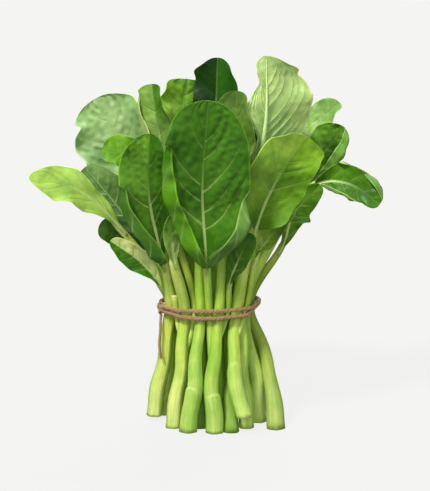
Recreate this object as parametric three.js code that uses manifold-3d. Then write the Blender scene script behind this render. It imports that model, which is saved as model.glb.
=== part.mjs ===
// A bunch of mustard greens, tied with twine and standing on its cut stalk ends.
// Millimetres, +Z up. The origin is on the ground, in the middle of the central stalk's cut end.
// The front of the bunch is -Y, and +X is its right side seen from there.

import * as THREE from 'three';
import Module from 'manifold-3d';

const wasm = await Module();
wasm.setup();

// Driving sizes of the bunch
const TIE_Z = 87; // height of the twine above the cut ends
const TIE_SLACK = 0.5; // clearance between stalks pressed together at the tie
const GAP = 0.3; // clearance between pieces that touch
const BLADE_THICK = 0.8;
const BLADE_FOOT = 2.4; // half width of a blade where it starts on its stalk
const BLADE_END = 1.6; // half width of a blade at its very tip
const RIB_END = 0.9; // radius of the midrib where it fades out
const RIB_REACH = 0.72; // share of the blade that the midrib runs along
const STALK_FLAT = 0.9; // thickness of a stalk over its width

// Mesh fineness
const STALK_SIDES = 7;
const STALK_STEPS = 8; // rings from the cut end up to the blade
const BRANCH_STEPS = 6; // rings of a side stalk up to its blade
const RIB_STEPS = 3;
const BLADE_ROWS = 9;
const BLADE_COLUMNS = [0, 0.36, 0.64, 0.84, 1]; // on each side of the midrib
const NARROW_WIDTH = 26; // blades narrower than this have fewer rows and columns
const NARROW_ROWS = 7;
const NARROW_COLUMNS = [0, 0.46, 0.8, 1];
const ROW_CROWDING = 1.25; // over 1 the rows stand closer together at the tip
const SECTION_STEPS = 24; // steps that bend a blade's cross-section

// Twine
const TWINE_R = 1.7;
const TWINE_SIDES = 6;
const TWINE_STEPS = 40;
const TWINE_GAP = 0.5; // clearance to the stalks it holds
const HELD_REACH = 8; // how far above and below the tie the stalks press against the twine
const UPPER_TURN_Z = 89.3;
const UPPER_TURN_RISE = 0.8; // how far the upper turn rises towards the front
const LOWER_TURN_Z = 88;
const LOWER_TURN_SAG = 3.2; // how far the lower turn sags towards the front
const TURN_TILT = 0.8; // how far both rise towards the right

// The knot, on the left side of the bundle
const KNOT_PLACE = new THREE.Vector3(-37.6, -9.5, 87.2);
const KNOT_OUTWARD = new THREE.Vector3(-0.96, -0.28, 0);
const KNOT_SIDEWAYS = new THREE.Vector3(0.28, -0.96, 0);
const KNOT_SIZE = 1.3; // the knot is about eight times this across
const KNOT_R = 1.1;
const KNOT_STEPS = 26;

// The loose end of the twine, from under the knot down the left side
const TAIL_R = 1.1; // it has frayed thinner than the turns
const TAIL_SIDES = 8;
const TAIL_STEPS = 8;
const TAIL_ROUTE = [
  [-37.6, -10.4, 81.6],
  [-37.8, -13, 77],
  [-38, -15.4, 70.5],
  [-38.6, -16.2, 63],
  [-38.4, -16.6, 56],
  [-37.4, -17, 50],
];

// Colours
const STALK_COLOUR = 0xa9cc4e;
const TWINE_COLOUR = 0xa8794a;
const UPPER_COLOUR = 0x3f7d1d;
const PALE_COLOUR = 0x8fbf52;
const MID_COLOUR = 0x5f9a2b;

// How a leaf is made where its own entry says nothing else
const PLAIN_LEAF = {
  colour: UPPER_COLOUR,
  neck: 3, // stalk radius where the blade starts
  face: 0, // compass direction of the blade's upper side, 0 is the front and 90 the right
  turn: 0, // how far that direction has turned at the tip
  lift: 0, // how far the upper side looks up where the leaf leans
  belly: 0.58, // share of the blade's length where it is widest
  taper: 0.85, // under 1 the blade widens soon after its foot
  tipBend: 2.3, // 2 makes the tip an ellipse, less a point and more a square
  share: [1, 1], // width of the left and right half over half the full width
  tipShare: null, // the same at the tip, where it differs
  fold: 40, // angle that each half stands up at the blade's foot
  cup: [14, 14], // angle gained from the midrib to the left and right edge
  roll: [0, 0], // further angle of the outermost strip, left and right
  wave: 1.8, // height of the waved edge
  waves: 2.5,
  phase: 0,
};

// Every stem with its leaves. foot is where it is cut, tie is where the twine holds it, and base, mid
// and tip lead each blade. A leaf with a fork leaves its stem at that height. The radii are footR at
// the cut end, tieR at the tie and neck under the blade. A side stalk with a top has lost its leaf and
// ends there.
const STEMS = [
  {
    name: 'stem_left_front',
    foot: [-43, -8, 3],
    footR: 6,
    tie: [-29.5, -9],
    tieR: 4.8,
    bend: [-36, -9, 49],
    leaves: [
      {
        name: 'leaf_left_front',
        base: [-34, -24, 125],
        mid: [-44, -43, 177],
        tip: [-43, -57, 226.5],
        width: 44,
        face: -16,
        cup: [34, 16],
        roll: [50, 0],
        neck: 3.4,
        taper: 1.1,
        share: [1, 0.8],
      },
      {
        name: 'leaf_low_left',
        fork: 53,
        tie: [-31.6, -1.2],
        tieR: 2.6,
        base: [-38.8, -10.4, 106],
        mid: [-53, -19, 125],
        tip: [-74, -26, 142],
        width: 17,
        face: 4,
        neck: 2.3,
        colour: PALE_COLOUR,
        waves: 1.5,
        lift: 20,
        cup: [24, 20],
      },
    ],
  },
  {
    name: 'stem_left',
    foot: [-36, 5, 0],
    footR: 5.4,
    tie: [-31, 7.2],
    tieR: 3.6,
    leaves: [
      {
        name: 'leaf_far_left',
        base: [-69, -13, 150],
        mid: [-98, -27, 180],
        tip: [-132, -36, 191],
        width: 30,
        face: 0,
        neck: 2.6,
        fold: 24,
        cup: [22, 16],
        colour: PALE_COLOUR,
        lift: 36,
        tipBend: 1.7,
        taper: 1.2,
      },
    ],
  },
  {
    name: 'stem_front_left',
    foot: [-28, -28, 0],
    footR: 5.8,
    tie: [-19, -21],
    tieR: 4.6,
    bend: [-22.5, -27, 51],
    leaves: [
      {
        name: 'leaf_front_narrow',
        base: [-27.5, -37, 129],
        mid: [-28.5, -45, 148],
        tip: [-27.5, -50, 167],
        width: 13,
        face: 14,
        neck: 3.4,
        colour: PALE_COLOUR,
        waves: 1.5,
        wave: 1,
      },
      {
        name: 'leaf_top_left_folded',
        fork: 49,
        tie: [-12.5, -19],
        tieR: 2.8,
        via: [-25, -24, 143],
        base: [-33, -25, 181],
        mid: [-37, -25, 221],
        tip: [-42, -26, 258],
        width: 30,
        face: -30,
        neck: 2.4,
        cup: [10, 46],
        colour: MID_COLOUR,
        tipBend: 3,
      },
      {
        name: 'cut_stub',
        fork: 63,
        tie: [-25.5, -17],
        tieR: 2.6,
        top: [-27, -19, 99],
      },
    ],
  },
  {
    name: 'stem_front_middle_left',
    foot: [-17, -38.5, 0],
    footR: 6.2,
    tie: [-8, -26],
    tieR: 4,
    bend: [-10.5, -34, 54],
    leaves: [
      {
        name: 'leaf_top_dark',
        via: [-8, -27, 141],
        base: [0, -18, 196],
        mid: [4, -9, 236],
        tip: [5, -4, 274.5],
        width: 36,
        face: -24,
        fold: 50,
        cup: [26, 26],
        tipBend: 2.2,
      },
    ],
  },
  {
    name: 'stem_front_middle',
    foot: [3, -41, 0],
    footR: 6,
    tie: [6, -26],
    tieR: 4.1,
    bend: [1.5, -37, 48],
    leaves: [
      {
        name: 'leaf_front_olive',
        base: [10, -28, 161],
        mid: [16, -31, 206],
        tip: [19, -27, 253],
        width: 40,
        face: -6,
        neck: 3,
        colour: MID_COLOUR,
        cup: [20, 20],
        share: [1, 0.6],
        tipShare: [1, 0.8],
      },
      {
        name: 'leaf_front_large',
        fork: 33,
        tie: [-1, -27.6],
        tieR: 2.6,
        base: [-3, -36, 125],
        mid: [-6, -54, 185],
        tip: [-1.5, -68, 251.5],
        width: 65,
        face: 0,
        neck: 2.7,
        cup: [16, 12],
        roll: [60, 20],
        waves: 2,
        taper: 0.75,
        belly: 0.55,
        share: [0.98, 1.05],
      },
      {
        name: 'leaf_front_small',
        fork: 61,
        tie: [12.3, -23.6],
        tieR: 2.3,
        base: [14, -31, 111],
        mid: [21, -38, 132],
        tip: [30, -43, 151],
        width: 16,
        face: -12,
        neck: 2,
        waves: 1.5,
        wave: 1,
      },
    ],
  },
  {
    name: 'stem_front_right',
    foot: [24.5, -46, 13],
    footR: 5.6,
    bend: [16.5, -33, 53],
    tie: [19, -20.5],
    tieR: 4.4,
    leaves: [
      {
        name: 'leaf_right_front',
        base: [32, -28, 153],
        mid: [47, -39, 189],
        tip: [69, -42, 222],
        width: 51,
        face: 22,
        neck: 3.4,
        colour: MID_COLOUR,
        cup: [4, 20],
        taper: 0.65,
      },
      {
        name: 'leaf_right_folded',
        fork: 63,
        tie: [25, -17.3],
        tieR: 2.2,
        base: [34, -17, 127],
        mid: [43, -18, 142],
        tip: [61, -17, 164],
        width: 15,
        face: -30,
        fold: 60,
        cup: [30, 30],
        neck: 1.9,
        wave: 1,
        waves: 1.5,
      },
    ],
  },
  {
    name: 'stem_right_front',
    foot: [26.5, -29, 0],
    footR: 5.4,
    tie: [24.5, -13.5],
    tieR: 4.1,
    bend: [24, -22, 51],
    leaves: [
      {
        name: 'leaf_right_drooping',
        via: [37, -8, 121],
        base: [78, 7, 178],
        mid: [103, -1, 180],
        tip: [125, -10, 166],
        width: 28,
        face: 0,
        cup: [20, 26],
        lift: 8,
        tipBend: 2.5,
        belly: 0.5,
        share: [1.1, 0.75],
      },
    ],
  },
  {
    name: 'stem_right_middle',
    foot: [36, -14, 0],
    footR: 5.8,
    tie: [22, -4],
    tieR: 4.8,
    bend: [31.3, -9, 47],
    leaves: [
      {
        name: 'leaf_top_right_pale',
        via: [27.5, -11, 143],
        base: [34, -20, 191],
        mid: [40, -26, 233],
        tip: [40, -25, 278],
        width: 54,
        share: [1.35, 0.8],
        face: 198,
        fold: 28,
        cup: [14, 14],
        neck: 3.6,
        colour: PALE_COLOUR,
        waves: 3,
        tipShare: [1.35, 0.35],
      },
      {
        name: 'leaf_right_curled',
        fork: 23,
        tie: [26, -9],
        tieR: 2.3,
        via: [37, 3, 119],
        base: [68, 26, 176],
        mid: [85, 23, 199],
        tip: [100, 18, 220],
        width: 34,
        face: -34,
        cup: [40, 50],
        neck: 2.2,
      },
    ],
  },
  {
    name: 'stem_right',
    foot: [48.5, -31, 0],
    footR: 6.2,
    bend: [43.3, -6, 43],
    tie: [29.2, 5],
    tieR: 3.4,
    leaves: [
      {
        name: 'leaf_right_low',
        base: [53, -2, 133],
        mid: [61, -6, 158],
        tip: [81, -9, 181],
        width: 20,
        face: 16,
        neck: 2.6,
        cup: [20, 10],
        lift: 20,
      },
    ],
  },
  {
    name: 'stem_left_back',
    foot: [-41, 19, 0],
    footR: 5.6,
    tie: [-26.8, 14.4],
    tieR: 4.2,
    leaves: [
      {
        name: 'leaf_left_grey',
        base: [-46, 0, 130],
        mid: [-69, -5, 163],
        tip: [-93, -9, 194],
        width: 30,
        face: 172,
        neck: 2.6,
        colour: MID_COLOUR,
        cup: [20, 20],
      },
      {
        name: 'leaf_left_small',
        fork: 113,
        base: [-47, 10, 116],
        mid: [-67, 11, 140],
        tip: [-85, 9, 144],
        width: 22,
        neck: 1.8,
        cup: [10, 40],
        waves: 1.5,
        wave: 1.2,
        lift: 20,
      },
    ],
  },
  {
    name: 'stem_left_middle',
    foot: [-23, 3, 0],
    footR: 5.6,
    tie: [-21, 4],
    tieR: 4.8,
    leaves: [
      {
        name: 'leaf_left_round',
        base: [-50, 9, 179],
        mid: [-66.5, 8, 210],
        tip: [-85, 10, 243],
        width: 63,
        face: -20,
        fold: 18,
        cup: [24, 26],
        colour: PALE_COLOUR,
        wave: 2.4,
        waves: 3,
        lift: 10,
      },
    ],
  },
  {
    name: 'stem_left_inner',
    foot: [-22, -13, 0],
    footR: 5.6,
    tie: [-20.5, -7],
    tieR: 4.4,
    leaves: [
      {
        name: 'leaf_left_bright',
        via: [-32, -14, 143],
        base: [-42, -15.5, 185],
        mid: [-60, -21, 204],
        tip: [-79, -23, 211],
        width: 27,
        face: -4,
        neck: 2.4,
        colour: MID_COLOUR,
        waves: 2,
        cup: [20, 24],
        lift: 32,
      },
    ],
  },
  {
    name: 'stem_inner_left_front',
    foot: [-7.5, -29, 0],
    footR: 5.6,
    tie: [-10, -11],
    tieR: 4.4,
    leaves: [
      {
        name: 'leaf_top_crinkled',
        via: [-20, -15, 144],
        base: [-22, -3, 197],
        mid: [-21.5, 3, 233],
        tip: [-18, 4, 258],
        width: 42,
        face: 26,
        wave: 3,
        waves: 3,
        colour: PALE_COLOUR,
        cup: [24, 20],
        tipBend: 3,
      },
    ],
  },
  {
    name: 'stem_right_back',
    foot: [43, 14, 0],
    footR: 5.6,
    tie: [23.8, 12.4],
    tieR: 4.4,
    bend: [34.5, 14, 54],
    leaves: [
      {
        name: 'leaf_right_grey',
        base: [64, 37, 189],
        mid: [80, 43, 216],
        tip: [98, 44, 235],
        width: 28,
        face: -44,
        cup: [20, 50],
        colour: MID_COLOUR,
      },
    ],
  },
  {
    name: 'stem_inner_front',
    foot: [7, -21, 0],
    footR: 5.6,
    tie: [1, -14],
    tieR: 4.6,
    leaves: [
      {
        name: 'leaf_inner_front',
        base: [6, -6, 168],
        mid: [8, 3, 206],
        tip: [6, 8, 243],
        width: 36,
        face: 40,
        cup: [24, 20],
      },
    ],
  },
  {
    name: 'stem_inner_right_front',
    foot: [14.5, -39, 0],
    footR: 5.8,
    tie: [12.5, -7],
    tieR: 4.4,
    bend: [14, -22, 49],
    leaves: [
      {
        name: 'leaf_inner_right',
        base: [19, 13, 148],
        mid: [42, 15, 210],
        tip: [56, 22, 246],
        width: 42,
        face: -24,
        colour: MID_COLOUR,
        cup: [24, 20],
      },
    ],
  },
  {
    name: 'stem_centre',
    foot: [0, 0, 0],
    footR: 5.8,
    tie: [0, 0],
    tieR: 4.8,
    leaves: [
      {
        name: 'leaf_centre',
        base: [-4, 14, 168],
        mid: [-8, 26, 208],
        tip: [-12, 32, 241],
        width: 40,
        face: -34,
        cup: [24, 20],
      },
    ],
  },
  {
    name: 'stem_inner_left',
    foot: [-11.5, 13.5, 0],
    footR: 5.6,
    tie: [-11, 4.5],
    tieR: 4.6,
    leaves: [
      {
        name: 'leaf_inner_left',
        base: [-28, 19, 137],
        mid: [-50, 30, 199],
        tip: [-70, 35, 229],
        width: 42,
        face: 26,
        colour: MID_COLOUR,
        cup: [8, 24],
        via: [-19.5, 12, 118],
      },
    ],
  },
  {
    name: 'stem_inner_right',
    foot: [24, 12, 0],
    footR: 5.6,
    tie: [12, 6.5],
    tieR: 4.6,
    leaves: [
      {
        name: 'leaf_inner_back_right',
        base: [24, 26, 159],
        mid: [36, 38, 195],
        tip: [47, 46, 223],
        width: 42,
        face: -40,
        cup: [20, 24],
      },
    ],
  },
  {
    name: 'stem_inner_back',
    foot: [6, 20, 0],
    footR: 5.6,
    tie: [0, 13.5],
    tieR: 4.6,
    leaves: [
      {
        name: 'leaf_inner_back',
        base: [0, 24, 122],
        mid: [-4, 48, 191],
        tip: [-8, 58, 225],
        width: 40,
        face: 160,
        colour: MID_COLOUR,
        cup: [24, 24],
      },
    ],
  },
  {
    name: 'stem_back_left',
    foot: [-27, 31, 0],
    footR: 5.8,
    tie: [-21, 19],
    tieR: 4.5,
    leaves: [
      {
        name: 'leaf_back_left',
        base: [-48, 34, 143],
        mid: [-72, 44, 175],
        tip: [-97, 50, 197],
        width: 48,
        face: 60,
        cup: [24, 24],
        lift: 30,
      },
    ],
  },
  {
    name: 'stem_back_middle_left',
    foot: [-10, 36, 0],
    footR: 5.8,
    tie: [-8, 24.5],
    tieR: 4.6,
    leaves: [
      {
        name: 'leaf_back_middle_left',
        base: [-20, 50, 135],
        mid: [-26, 72, 169],
        tip: [-33, 90, 189],
        width: 54,
        face: 10,
        colour: MID_COLOUR,
        cup: [26, 24],
        lift: 30,
      },
    ],
  },
  {
    name: 'stem_back_middle_right',
    foot: [13, 37, 0],
    footR: 5.8,
    tie: [5.5, 25.5],
    tieR: 4.6,
    leaves: [
      {
        name: 'leaf_back_middle_right',
        base: [18, 52, 133],
        mid: [28, 76, 167],
        tip: [40, 94, 183],
        width: 52,
        face: 190,
        cup: [26, 20],
        lift: 20,
      },
    ],
  },
  {
    name: 'stem_back_right',
    foot: [31, 30, 0],
    footR: 5.8,
    tie: [18, 20.5],
    tieR: 4.5,
    leaves: [
      {
        name: 'leaf_back_right',
        base: [53, 40, 145],
        mid: [76, 46, 177],
        tip: [99, 50, 199],
        width: 46,
        face: -62,
        cup: [24, 26],
        lift: 30,
      },
    ],
  },
];

const radians = (degrees) => (degrees * Math.PI) / 180;
const blend = (from, to, share) => from + (to - from) * share;

// Rises from 0 to 1 between low and high, with a soft start and end.
function ease(low, high, value) {
  const share = Math.min(Math.max((value - low) / (high - low), 0), 1);
  return share * share * (3 - 2 * share);
}

// Moves discs apart until they clear each other, as stalks do that are pressed into a bundle.
function pressApart(discs, clearance) {
  const passes = 300;
  for (let pass = 0; pass < passes; pass += 1) {
    for (let first = 0; first < discs.length; first += 1) {
      for (let second = first + 1; second < discs.length; second += 1) {
        const a = discs[first];
        const b = discs[second];
        const dx = b.x - a.x;
        const dy = b.y - a.y;
        const apart = Math.hypot(dx, dy);
        const needed = a.r + b.r + clearance;
        if (apart < needed) {
          const push = (needed - apart) / apart / 2;
          a.x -= dx * push;
          a.y -= dy * push;
          b.x += dx * push;
          b.y += dy * push;
        }
      }
    }
  }
}

const discOf = ([x, y], r) => ({ x, y, r });

// Settles every stalk's place at one level, and gives it by the stem or side stalk that owns it.
function settle(owners, placeOf, radiusOf) {
  const discs = owners.map((owner) => discOf(placeOf(owner), radiusOf(owner)));
  pressApart(discs, TIE_SLACK);
  return new Map(owners.map((owner, index) => [owner, discs[index]]));
}

const tiedOwners = STEMS.flatMap((stem) => [stem, ...stem.leaves.filter((leaf) => leaf.fork && leaf.tie)]);
const footDiscs = settle(STEMS, (stem) => stem.foot, (stem) => stem.footR);
const tieDiscs = settle(tiedOwners, (owner) => owner.tie, (owner) => owner.tieR);

// The line that a stalk and its leaf follow, with the share of it where the tie and the blade are.
function leafLine(stem, entry, leaf, parent) {
  const disc = tieDiscs.get(leaf.fork ? entry : stem);
  const points = [];
  if (leaf.fork) {
    points.push(parent.pointAtHeight(leaf.fork));
  } else {
    const foot = footDiscs.get(stem);
    points.push(new THREE.Vector3(foot.x, foot.y, stem.foot[2]));
    if (stem.bend) points.push(new THREE.Vector3(...stem.bend));
  }
  let tieIndex = 0;
  if (disc) {
    tieIndex = points.length;
    points.push(new THREE.Vector3(disc.x, disc.y, TIE_Z));
  }
  if (leaf.via) points.push(new THREE.Vector3(...leaf.via));
  if (leaf.top) {
    points.push(new THREE.Vector3(...leaf.top));
    return lineThrough(points, tieIndex, points.length - 1, leaf);
  }
  const baseIndex = points.length;
  for (const point of [leaf.base, leaf.mid, leaf.tip]) points.push(new THREE.Vector3(...point));
  return lineThrough(points, tieIndex, baseIndex, leaf);
}

function lineThrough(points, tieIndex, baseIndex, leaf) {
  const curve = new THREE.CatmullRomCurve3(points);
  const last = points.length - 1;
  const baseShare = baseIndex / last;
  const frameAt = (share) => {
    const step = 0.002;
    const ahead = curve.getPoint(Math.min(share + step, 1));
    const behind = curve.getPoint(Math.max(share - step, 0));
    const along = ahead.sub(behind).normalize();
    const turned = Math.max((share - baseShare) / Math.max(1 - baseShare, step), 0);
    const angle = radians(leaf.face + leaf.turn * turned);
    const upper = new THREE.Vector3(Math.sin(angle), -Math.cos(angle), Math.tan(radians(leaf.lift)));
    upper.addScaledVector(along, -upper.dot(along)).normalize();
    const across = new THREE.Vector3().crossVectors(along, upper);
    return { point: curve.getPoint(share), along, upper, across };
  };
  const pointAtHeight = (height) => {
    let low = 0;
    let high = baseShare;
    for (let step = 0; step < 40; step += 1) {
      const middle = (low + high) / 2;
      if (curve.getPoint(middle).z < height) low = middle;
      else high = middle;
    }
    return curve.getPoint((low + high) / 2);
  };
  return { frameAt, pointAtHeight, tieShare: tieIndex / last, baseShare };
}

// One elliptical ring of a stalk. A level ring lies flat, as a cut end does.
function stalkRing(frame, radius, level) {
  const across = frame.across.clone();
  const upper = frame.upper.clone();
  if (level) {
    across.setZ(0).normalize();
    upper.setZ(0).normalize();
  }
  const ring = [];
  for (let side = 0; side < STALK_SIDES; side += 1) {
    const angle = (2 * Math.PI * (side + 0.5)) / STALK_SIDES;
    const point = frame.point.clone();
    point.addScaledVector(across, radius * Math.cos(angle));
    point.addScaledVector(upper, radius * STALK_FLAT * Math.sin(angle));
    ring.push(point);
  }
  return ring;
}

// A closed skin over rings of equal length, with flat ends.
function skinRings(rings) {
  const count = rings[0].length;
  const points = rings.flat();
  const faces = [];
  for (let row = 0; row < rings.length - 1; row += 1) {
    for (let side = 0; side < count; side += 1) {
      const a = row * count + side;
      const b = row * count + ((side + 1) % count);
      faces.push([a, b + count, b], [a, a + count, b + count]);
    }
  }
  const top = (rings.length - 1) * count;
  for (let side = 1; side < count - 1; side += 1) {
    faces.push([0, side, side + 1], [top, top + side + 1, top + side]);
  }
  return { points, faces };
}

function toSolid({ points, faces }) {
  const vertProperties = Float32Array.from(points.flatMap((point) => point.toArray()));
  const triVerts = Uint32Array.from(faces.flat());
  return new wasm.Manifold(new wasm.Mesh({ numProp: 3, vertProperties, triVerts }));
}

function geometryOf({ points, faces }) {
  const geometry = new THREE.BufferGeometry();
  geometry.setAttribute('position', new THREE.Float32BufferAttribute(points.flatMap((p) => p.toArray()), 3));
  geometry.setIndex(faces.flat());
  return geometry;
}

function geometryOfSolid(solid) {
  const { vertProperties, triVerts } = solid.getMesh();
  const geometry = new THREE.BufferGeometry();
  geometry.setAttribute('position', new THREE.BufferAttribute(vertProperties, 3));
  geometry.setIndex(new THREE.BufferAttribute(triVerts, 1));
  return geometry;
}

function makeMesh(name, geometry, colour, roughness) {
  geometry.computeVertexNormals();
  const material = new THREE.MeshStandardMaterial({ color: colour, roughness, metalness: 0 });
  const mesh = new THREE.Mesh(geometry, material);
  mesh.name = name;
  return mesh;
}

// Radius of the midrib at a share of the blade's length
function ribRadius(leaf, share) {
  return blend(leaf.neck, RIB_END, Math.min(share / RIB_REACH, 1));
}

// The rings of one stalk, from its cut end or its fork to the end of the midrib
function stalkRings(stem, leaf, line) {
  const startR = leaf.fork ? (leaf.tieR ?? leaf.neck) * 0.9 : stem.footR;
  const tieR = leaf.fork ? leaf.tieR ?? startR : stem.tieR;
  const steps = leaf.fork ? BRANCH_STEPS : STALK_STEPS;
  const rings = [];
  for (let step = 0; step <= steps; step += 1) {
    const share = (line.baseShare * step) / steps;
    let radius = tieR;
    if (share < line.tieShare) radius = blend(startR, tieR, ease(0, line.tieShare, share));
    else if (!leaf.top) radius = blend(tieR, leaf.neck, ease(line.tieShare, line.baseShare, share));
    const level = step === 0 || (leaf.top && step === steps);
    rings.push(stalkRing(line.frameAt(share), radius, level));
  }
  if (leaf.top) return rings;
  for (let step = 1; step <= RIB_STEPS; step += 1) {
    const along = (RIB_REACH * step) / RIB_STEPS;
    const share = blend(line.baseShare, 1, along);
    rings.push(stalkRing(line.frameAt(share), ribRadius(leaf, along), false));
  }
  return rings;
}

// Half width of a blade at a share of its length: a tapering foot, widest at the belly, a round tip
function halfWidth(leaf, share) {
  const narrow = blend(BLADE_FOOT, BLADE_END, share);
  const past = Math.max((share - leaf.belly) / (1 - leaf.belly), 0);
  const round = Math.max(1 - past ** leaf.tipBend, 0) ** (1 / leaf.tipBend);
  const tapered = Math.sin((Math.PI / 2) * Math.min(share / leaf.belly, 1)) ** leaf.taper;
  return narrow + (leaf.width / 2 - narrow) * round * tapered;
}

// How far one half of a blade's cross-section has turned up at a share of its width
function sectionAngle(leaf, side, share, out) {
  const hand = side < 0 ? 0 : 1;
  const fold = leaf.fold * (1 - ease(0, 0.45, share));
  const cup = leaf.cup[hand] * out;
  const rolled = ease(0, 0.2, share) * (1 - ease(0.6, 0.9, share));
  return radians(fold + cup + leaf.roll[hand] * rolled * ease(0.55, 1, out));
}

const isNarrow = (leaf) => leaf.width < NARROW_WIDTH;

// Points across one row of a blade's middle surface, each with the direction of its upper side
function bladeRow(leaf, line, share) {
  const frame = line.frameAt(blend(line.baseShare, 1, share));
  const lift = ribRadius(leaf, share) * STALK_FLAT + GAP + BLADE_THICK / 2;
  const width = halfWidth(leaf, share);
  const halves = [-1, 1].map((side) => {
    const hand = side < 0 ? 0 : 1;
    const lopsided = blend(leaf.share[hand], (leaf.tipShare ?? leaf.share)[hand], ease(0.3, 0.8, share));
    const fullWidth = Math.max(width * lopsided, BLADE_END);
    const place = frame.point.clone().addScaledVector(frame.upper, lift);
    const row = [];
    let reached = 0;
    for (const column of isNarrow(leaf) ? NARROW_COLUMNS : BLADE_COLUMNS) {
      const steps = Math.round((column - reached) * SECTION_STEPS);
      for (let step = 0; step < steps; step += 1) {
        const out = reached + ((column - reached) * (step + 0.5)) / steps;
        const angle = sectionAngle(leaf, side, share, out);
        const length = (fullWidth * (column - reached)) / steps;
        place.addScaledVector(frame.across, side * Math.cos(angle) * length);
        place.addScaledVector(frame.upper, Math.sin(angle) * length);
      }
      reached = column;
      const angle = column > 0 ? sectionAngle(leaf, side, share, column) : 0;
      const upper = frame.upper.clone().multiplyScalar(Math.cos(angle));
      upper.addScaledVector(frame.across, -side * Math.sin(angle));
      const turn = 2 * Math.PI * (leaf.waves * share + leaf.phase) + side;
      const height = leaf.wave * (width / (leaf.width / 2)) * column * column * Math.sin(turn);
      row.push({ point: place.clone().addScaledVector(upper, height), upper });
    }
    return row;
  });
  return [...halves[0].slice(1).reverse(), ...halves[1]];
}

// A blade: two like skins, one thickness apart, joined by a rim
function bladeShell(leaf, line) {
  const last = isNarrow(leaf) ? NARROW_ROWS : BLADE_ROWS;
  const rows = [];
  for (let row = 0; row <= last; row += 1) {
    rows.push(bladeRow(leaf, line, 1 - (1 - row / last) ** ROW_CROWDING));
  }
  const count = rows[0].length;
  const points = [];
  for (const shift of [BLADE_THICK / 2, -BLADE_THICK / 2]) {
    for (const place of rows.flat()) points.push(place.point.clone().addScaledVector(place.upper, shift));
  }
  const under = rows.length * count;
  const faces = [];
  for (let row = 0; row < last; row += 1) {
    for (let column = 0; column < count - 1; column += 1) {
      const a = row * count + column;
      const b = a + 1;
      const c = b + count;
      const d = a + count;
      faces.push([a, b, c], [a, c, d]);
      faces.push([a + under, c + under, b + under], [a + under, d + under, c + under]);
    }
  }
  const rim = [];
  for (let column = 0; column < count - 1; column += 1) rim.push(column);
  for (let row = 0; row < last; row += 1) rim.push(row * count + count - 1);
  for (let column = count - 1; column > 0; column -= 1) rim.push(last * count + column);
  for (let row = last; row > 0; row -= 1) rim.push(row * count);
  rim.forEach((a, index) => {
    const b = rim[(index + 1) % rim.length];
    faces.push([a, a + under, b + under], [a, b + under, b]);
  });
  return { points, faces };
}

// The twine drawn tight round the stalks: points on the outside of the bundle, evenly spaced.
// heightAt gives the twine's height in each outward direction.
function tautRound(stalks, clearance, heightAt) {
  const raw = [];
  const directions = 240;
  for (let step = 0; step < directions; step += 1) {
    const angle = (2 * Math.PI * step) / directions;
    const out = new THREE.Vector3(Math.cos(angle), Math.sin(angle), 0);
    const height = heightAt(out);
    let best = null;
    for (const { low, high, r } of stalks) {
      const place = low.clone().lerp(high, (height - low.z) / (high.z - low.z));
      const reached = place.dot(out) + r;
      if (!best || reached > best.reached) best = { place, r, reached };
    }
    raw.push(best.place.addScaledVector(out, best.r + clearance).setZ(height));
  }
  const loop = new THREE.CurvePath();
  raw.forEach((point, index) => loop.add(new THREE.LineCurve3(point, raw[(index + 1) % directions])));
  return loop.getSpacedPoints(TWINE_STEPS).slice(0, TWINE_STEPS);
}

function closedTube(points, radius) {
  const rings = points.map((point, index) => {
    const ahead = points[(index + 1) % points.length];
    const behind = points[(index + points.length - 1) % points.length];
    const along = ahead.clone().sub(behind).normalize();
    const up = new THREE.Vector3(0, 0, 1);
    up.addScaledVector(along, -up.dot(along)).normalize();
    const across = new THREE.Vector3().crossVectors(along, up);
    const ring = [];
    for (let side = 0; side < TWINE_SIDES; side += 1) {
      const angle = (2 * Math.PI * side) / TWINE_SIDES;
      const place = point.clone().addScaledVector(across, radius * Math.cos(angle));
      ring.push(place.addScaledVector(up, radius * Math.sin(angle)));
    }
    return ring;
  });
  const count = TWINE_SIDES;
  const faces = [];
  for (let row = 0; row < rings.length; row += 1) {
    const next = ((row + 1) % rings.length) * count;
    for (let side = 0; side < count; side += 1) {
      const a = row * count + side;
      const b = row * count + ((side + 1) % count);
      const c = next + ((side + 1) % count);
      const d = next + side;
      faces.push([a, c, b], [a, d, c]);
    }
  }
  return { points: rings.flat(), faces };
}

// A three-lobed overhand knot, pressed flat against the bundle
function knotLoop() {
  const points = [];
  for (let step = 0; step < KNOT_STEPS; step += 1) {
    const angle = (2 * Math.PI * step) / KNOT_STEPS;
    const reached = KNOT_SIZE * (2 + Math.cos(3 * angle));
    const point = KNOT_PLACE.clone();
    point.addScaledVector(KNOT_SIDEWAYS, reached * Math.cos(2 * angle));
    point.addScaledVector(KNOT_OUTWARD, KNOT_SIZE * Math.sin(3 * angle));
    point.z += reached * Math.sin(2 * angle);
    points.push(point);
  }
  return points;
}

const bunch = new THREE.Group();
bunch.name = 'mustard_greens_bunch';

const heldStalks = [];

for (const stem of STEMS) {
  let solid = null;
  let mainLine = null;
  for (const entry of stem.leaves) {
    const leaf = { ...PLAIN_LEAF, ...entry };
    const line = leafLine(stem, entry, leaf, mainLine);
    mainLine ??= line;
    if (tieDiscs.has(leaf.fork ? entry : stem)) {
      const low = line.pointAtHeight(TIE_Z - HELD_REACH);
      const high = line.pointAtHeight(TIE_Z + HELD_REACH);
      heldStalks.push({ low, high, r: leaf.fork ? leaf.tieR : stem.tieR });
    }
    const stalk = toSolid(skinRings(stalkRings(stem, leaf, line)));
    solid = solid ? solid.add(stalk) : stalk;
    if (!leaf.top) bunch.add(makeMesh(leaf.name, geometryOf(bladeShell(leaf, line)), leaf.colour, 0.5));
  }
  bunch.add(makeMesh(stem.name, geometryOfSolid(solid), STALK_COLOUR, 0.45));
}

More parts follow.
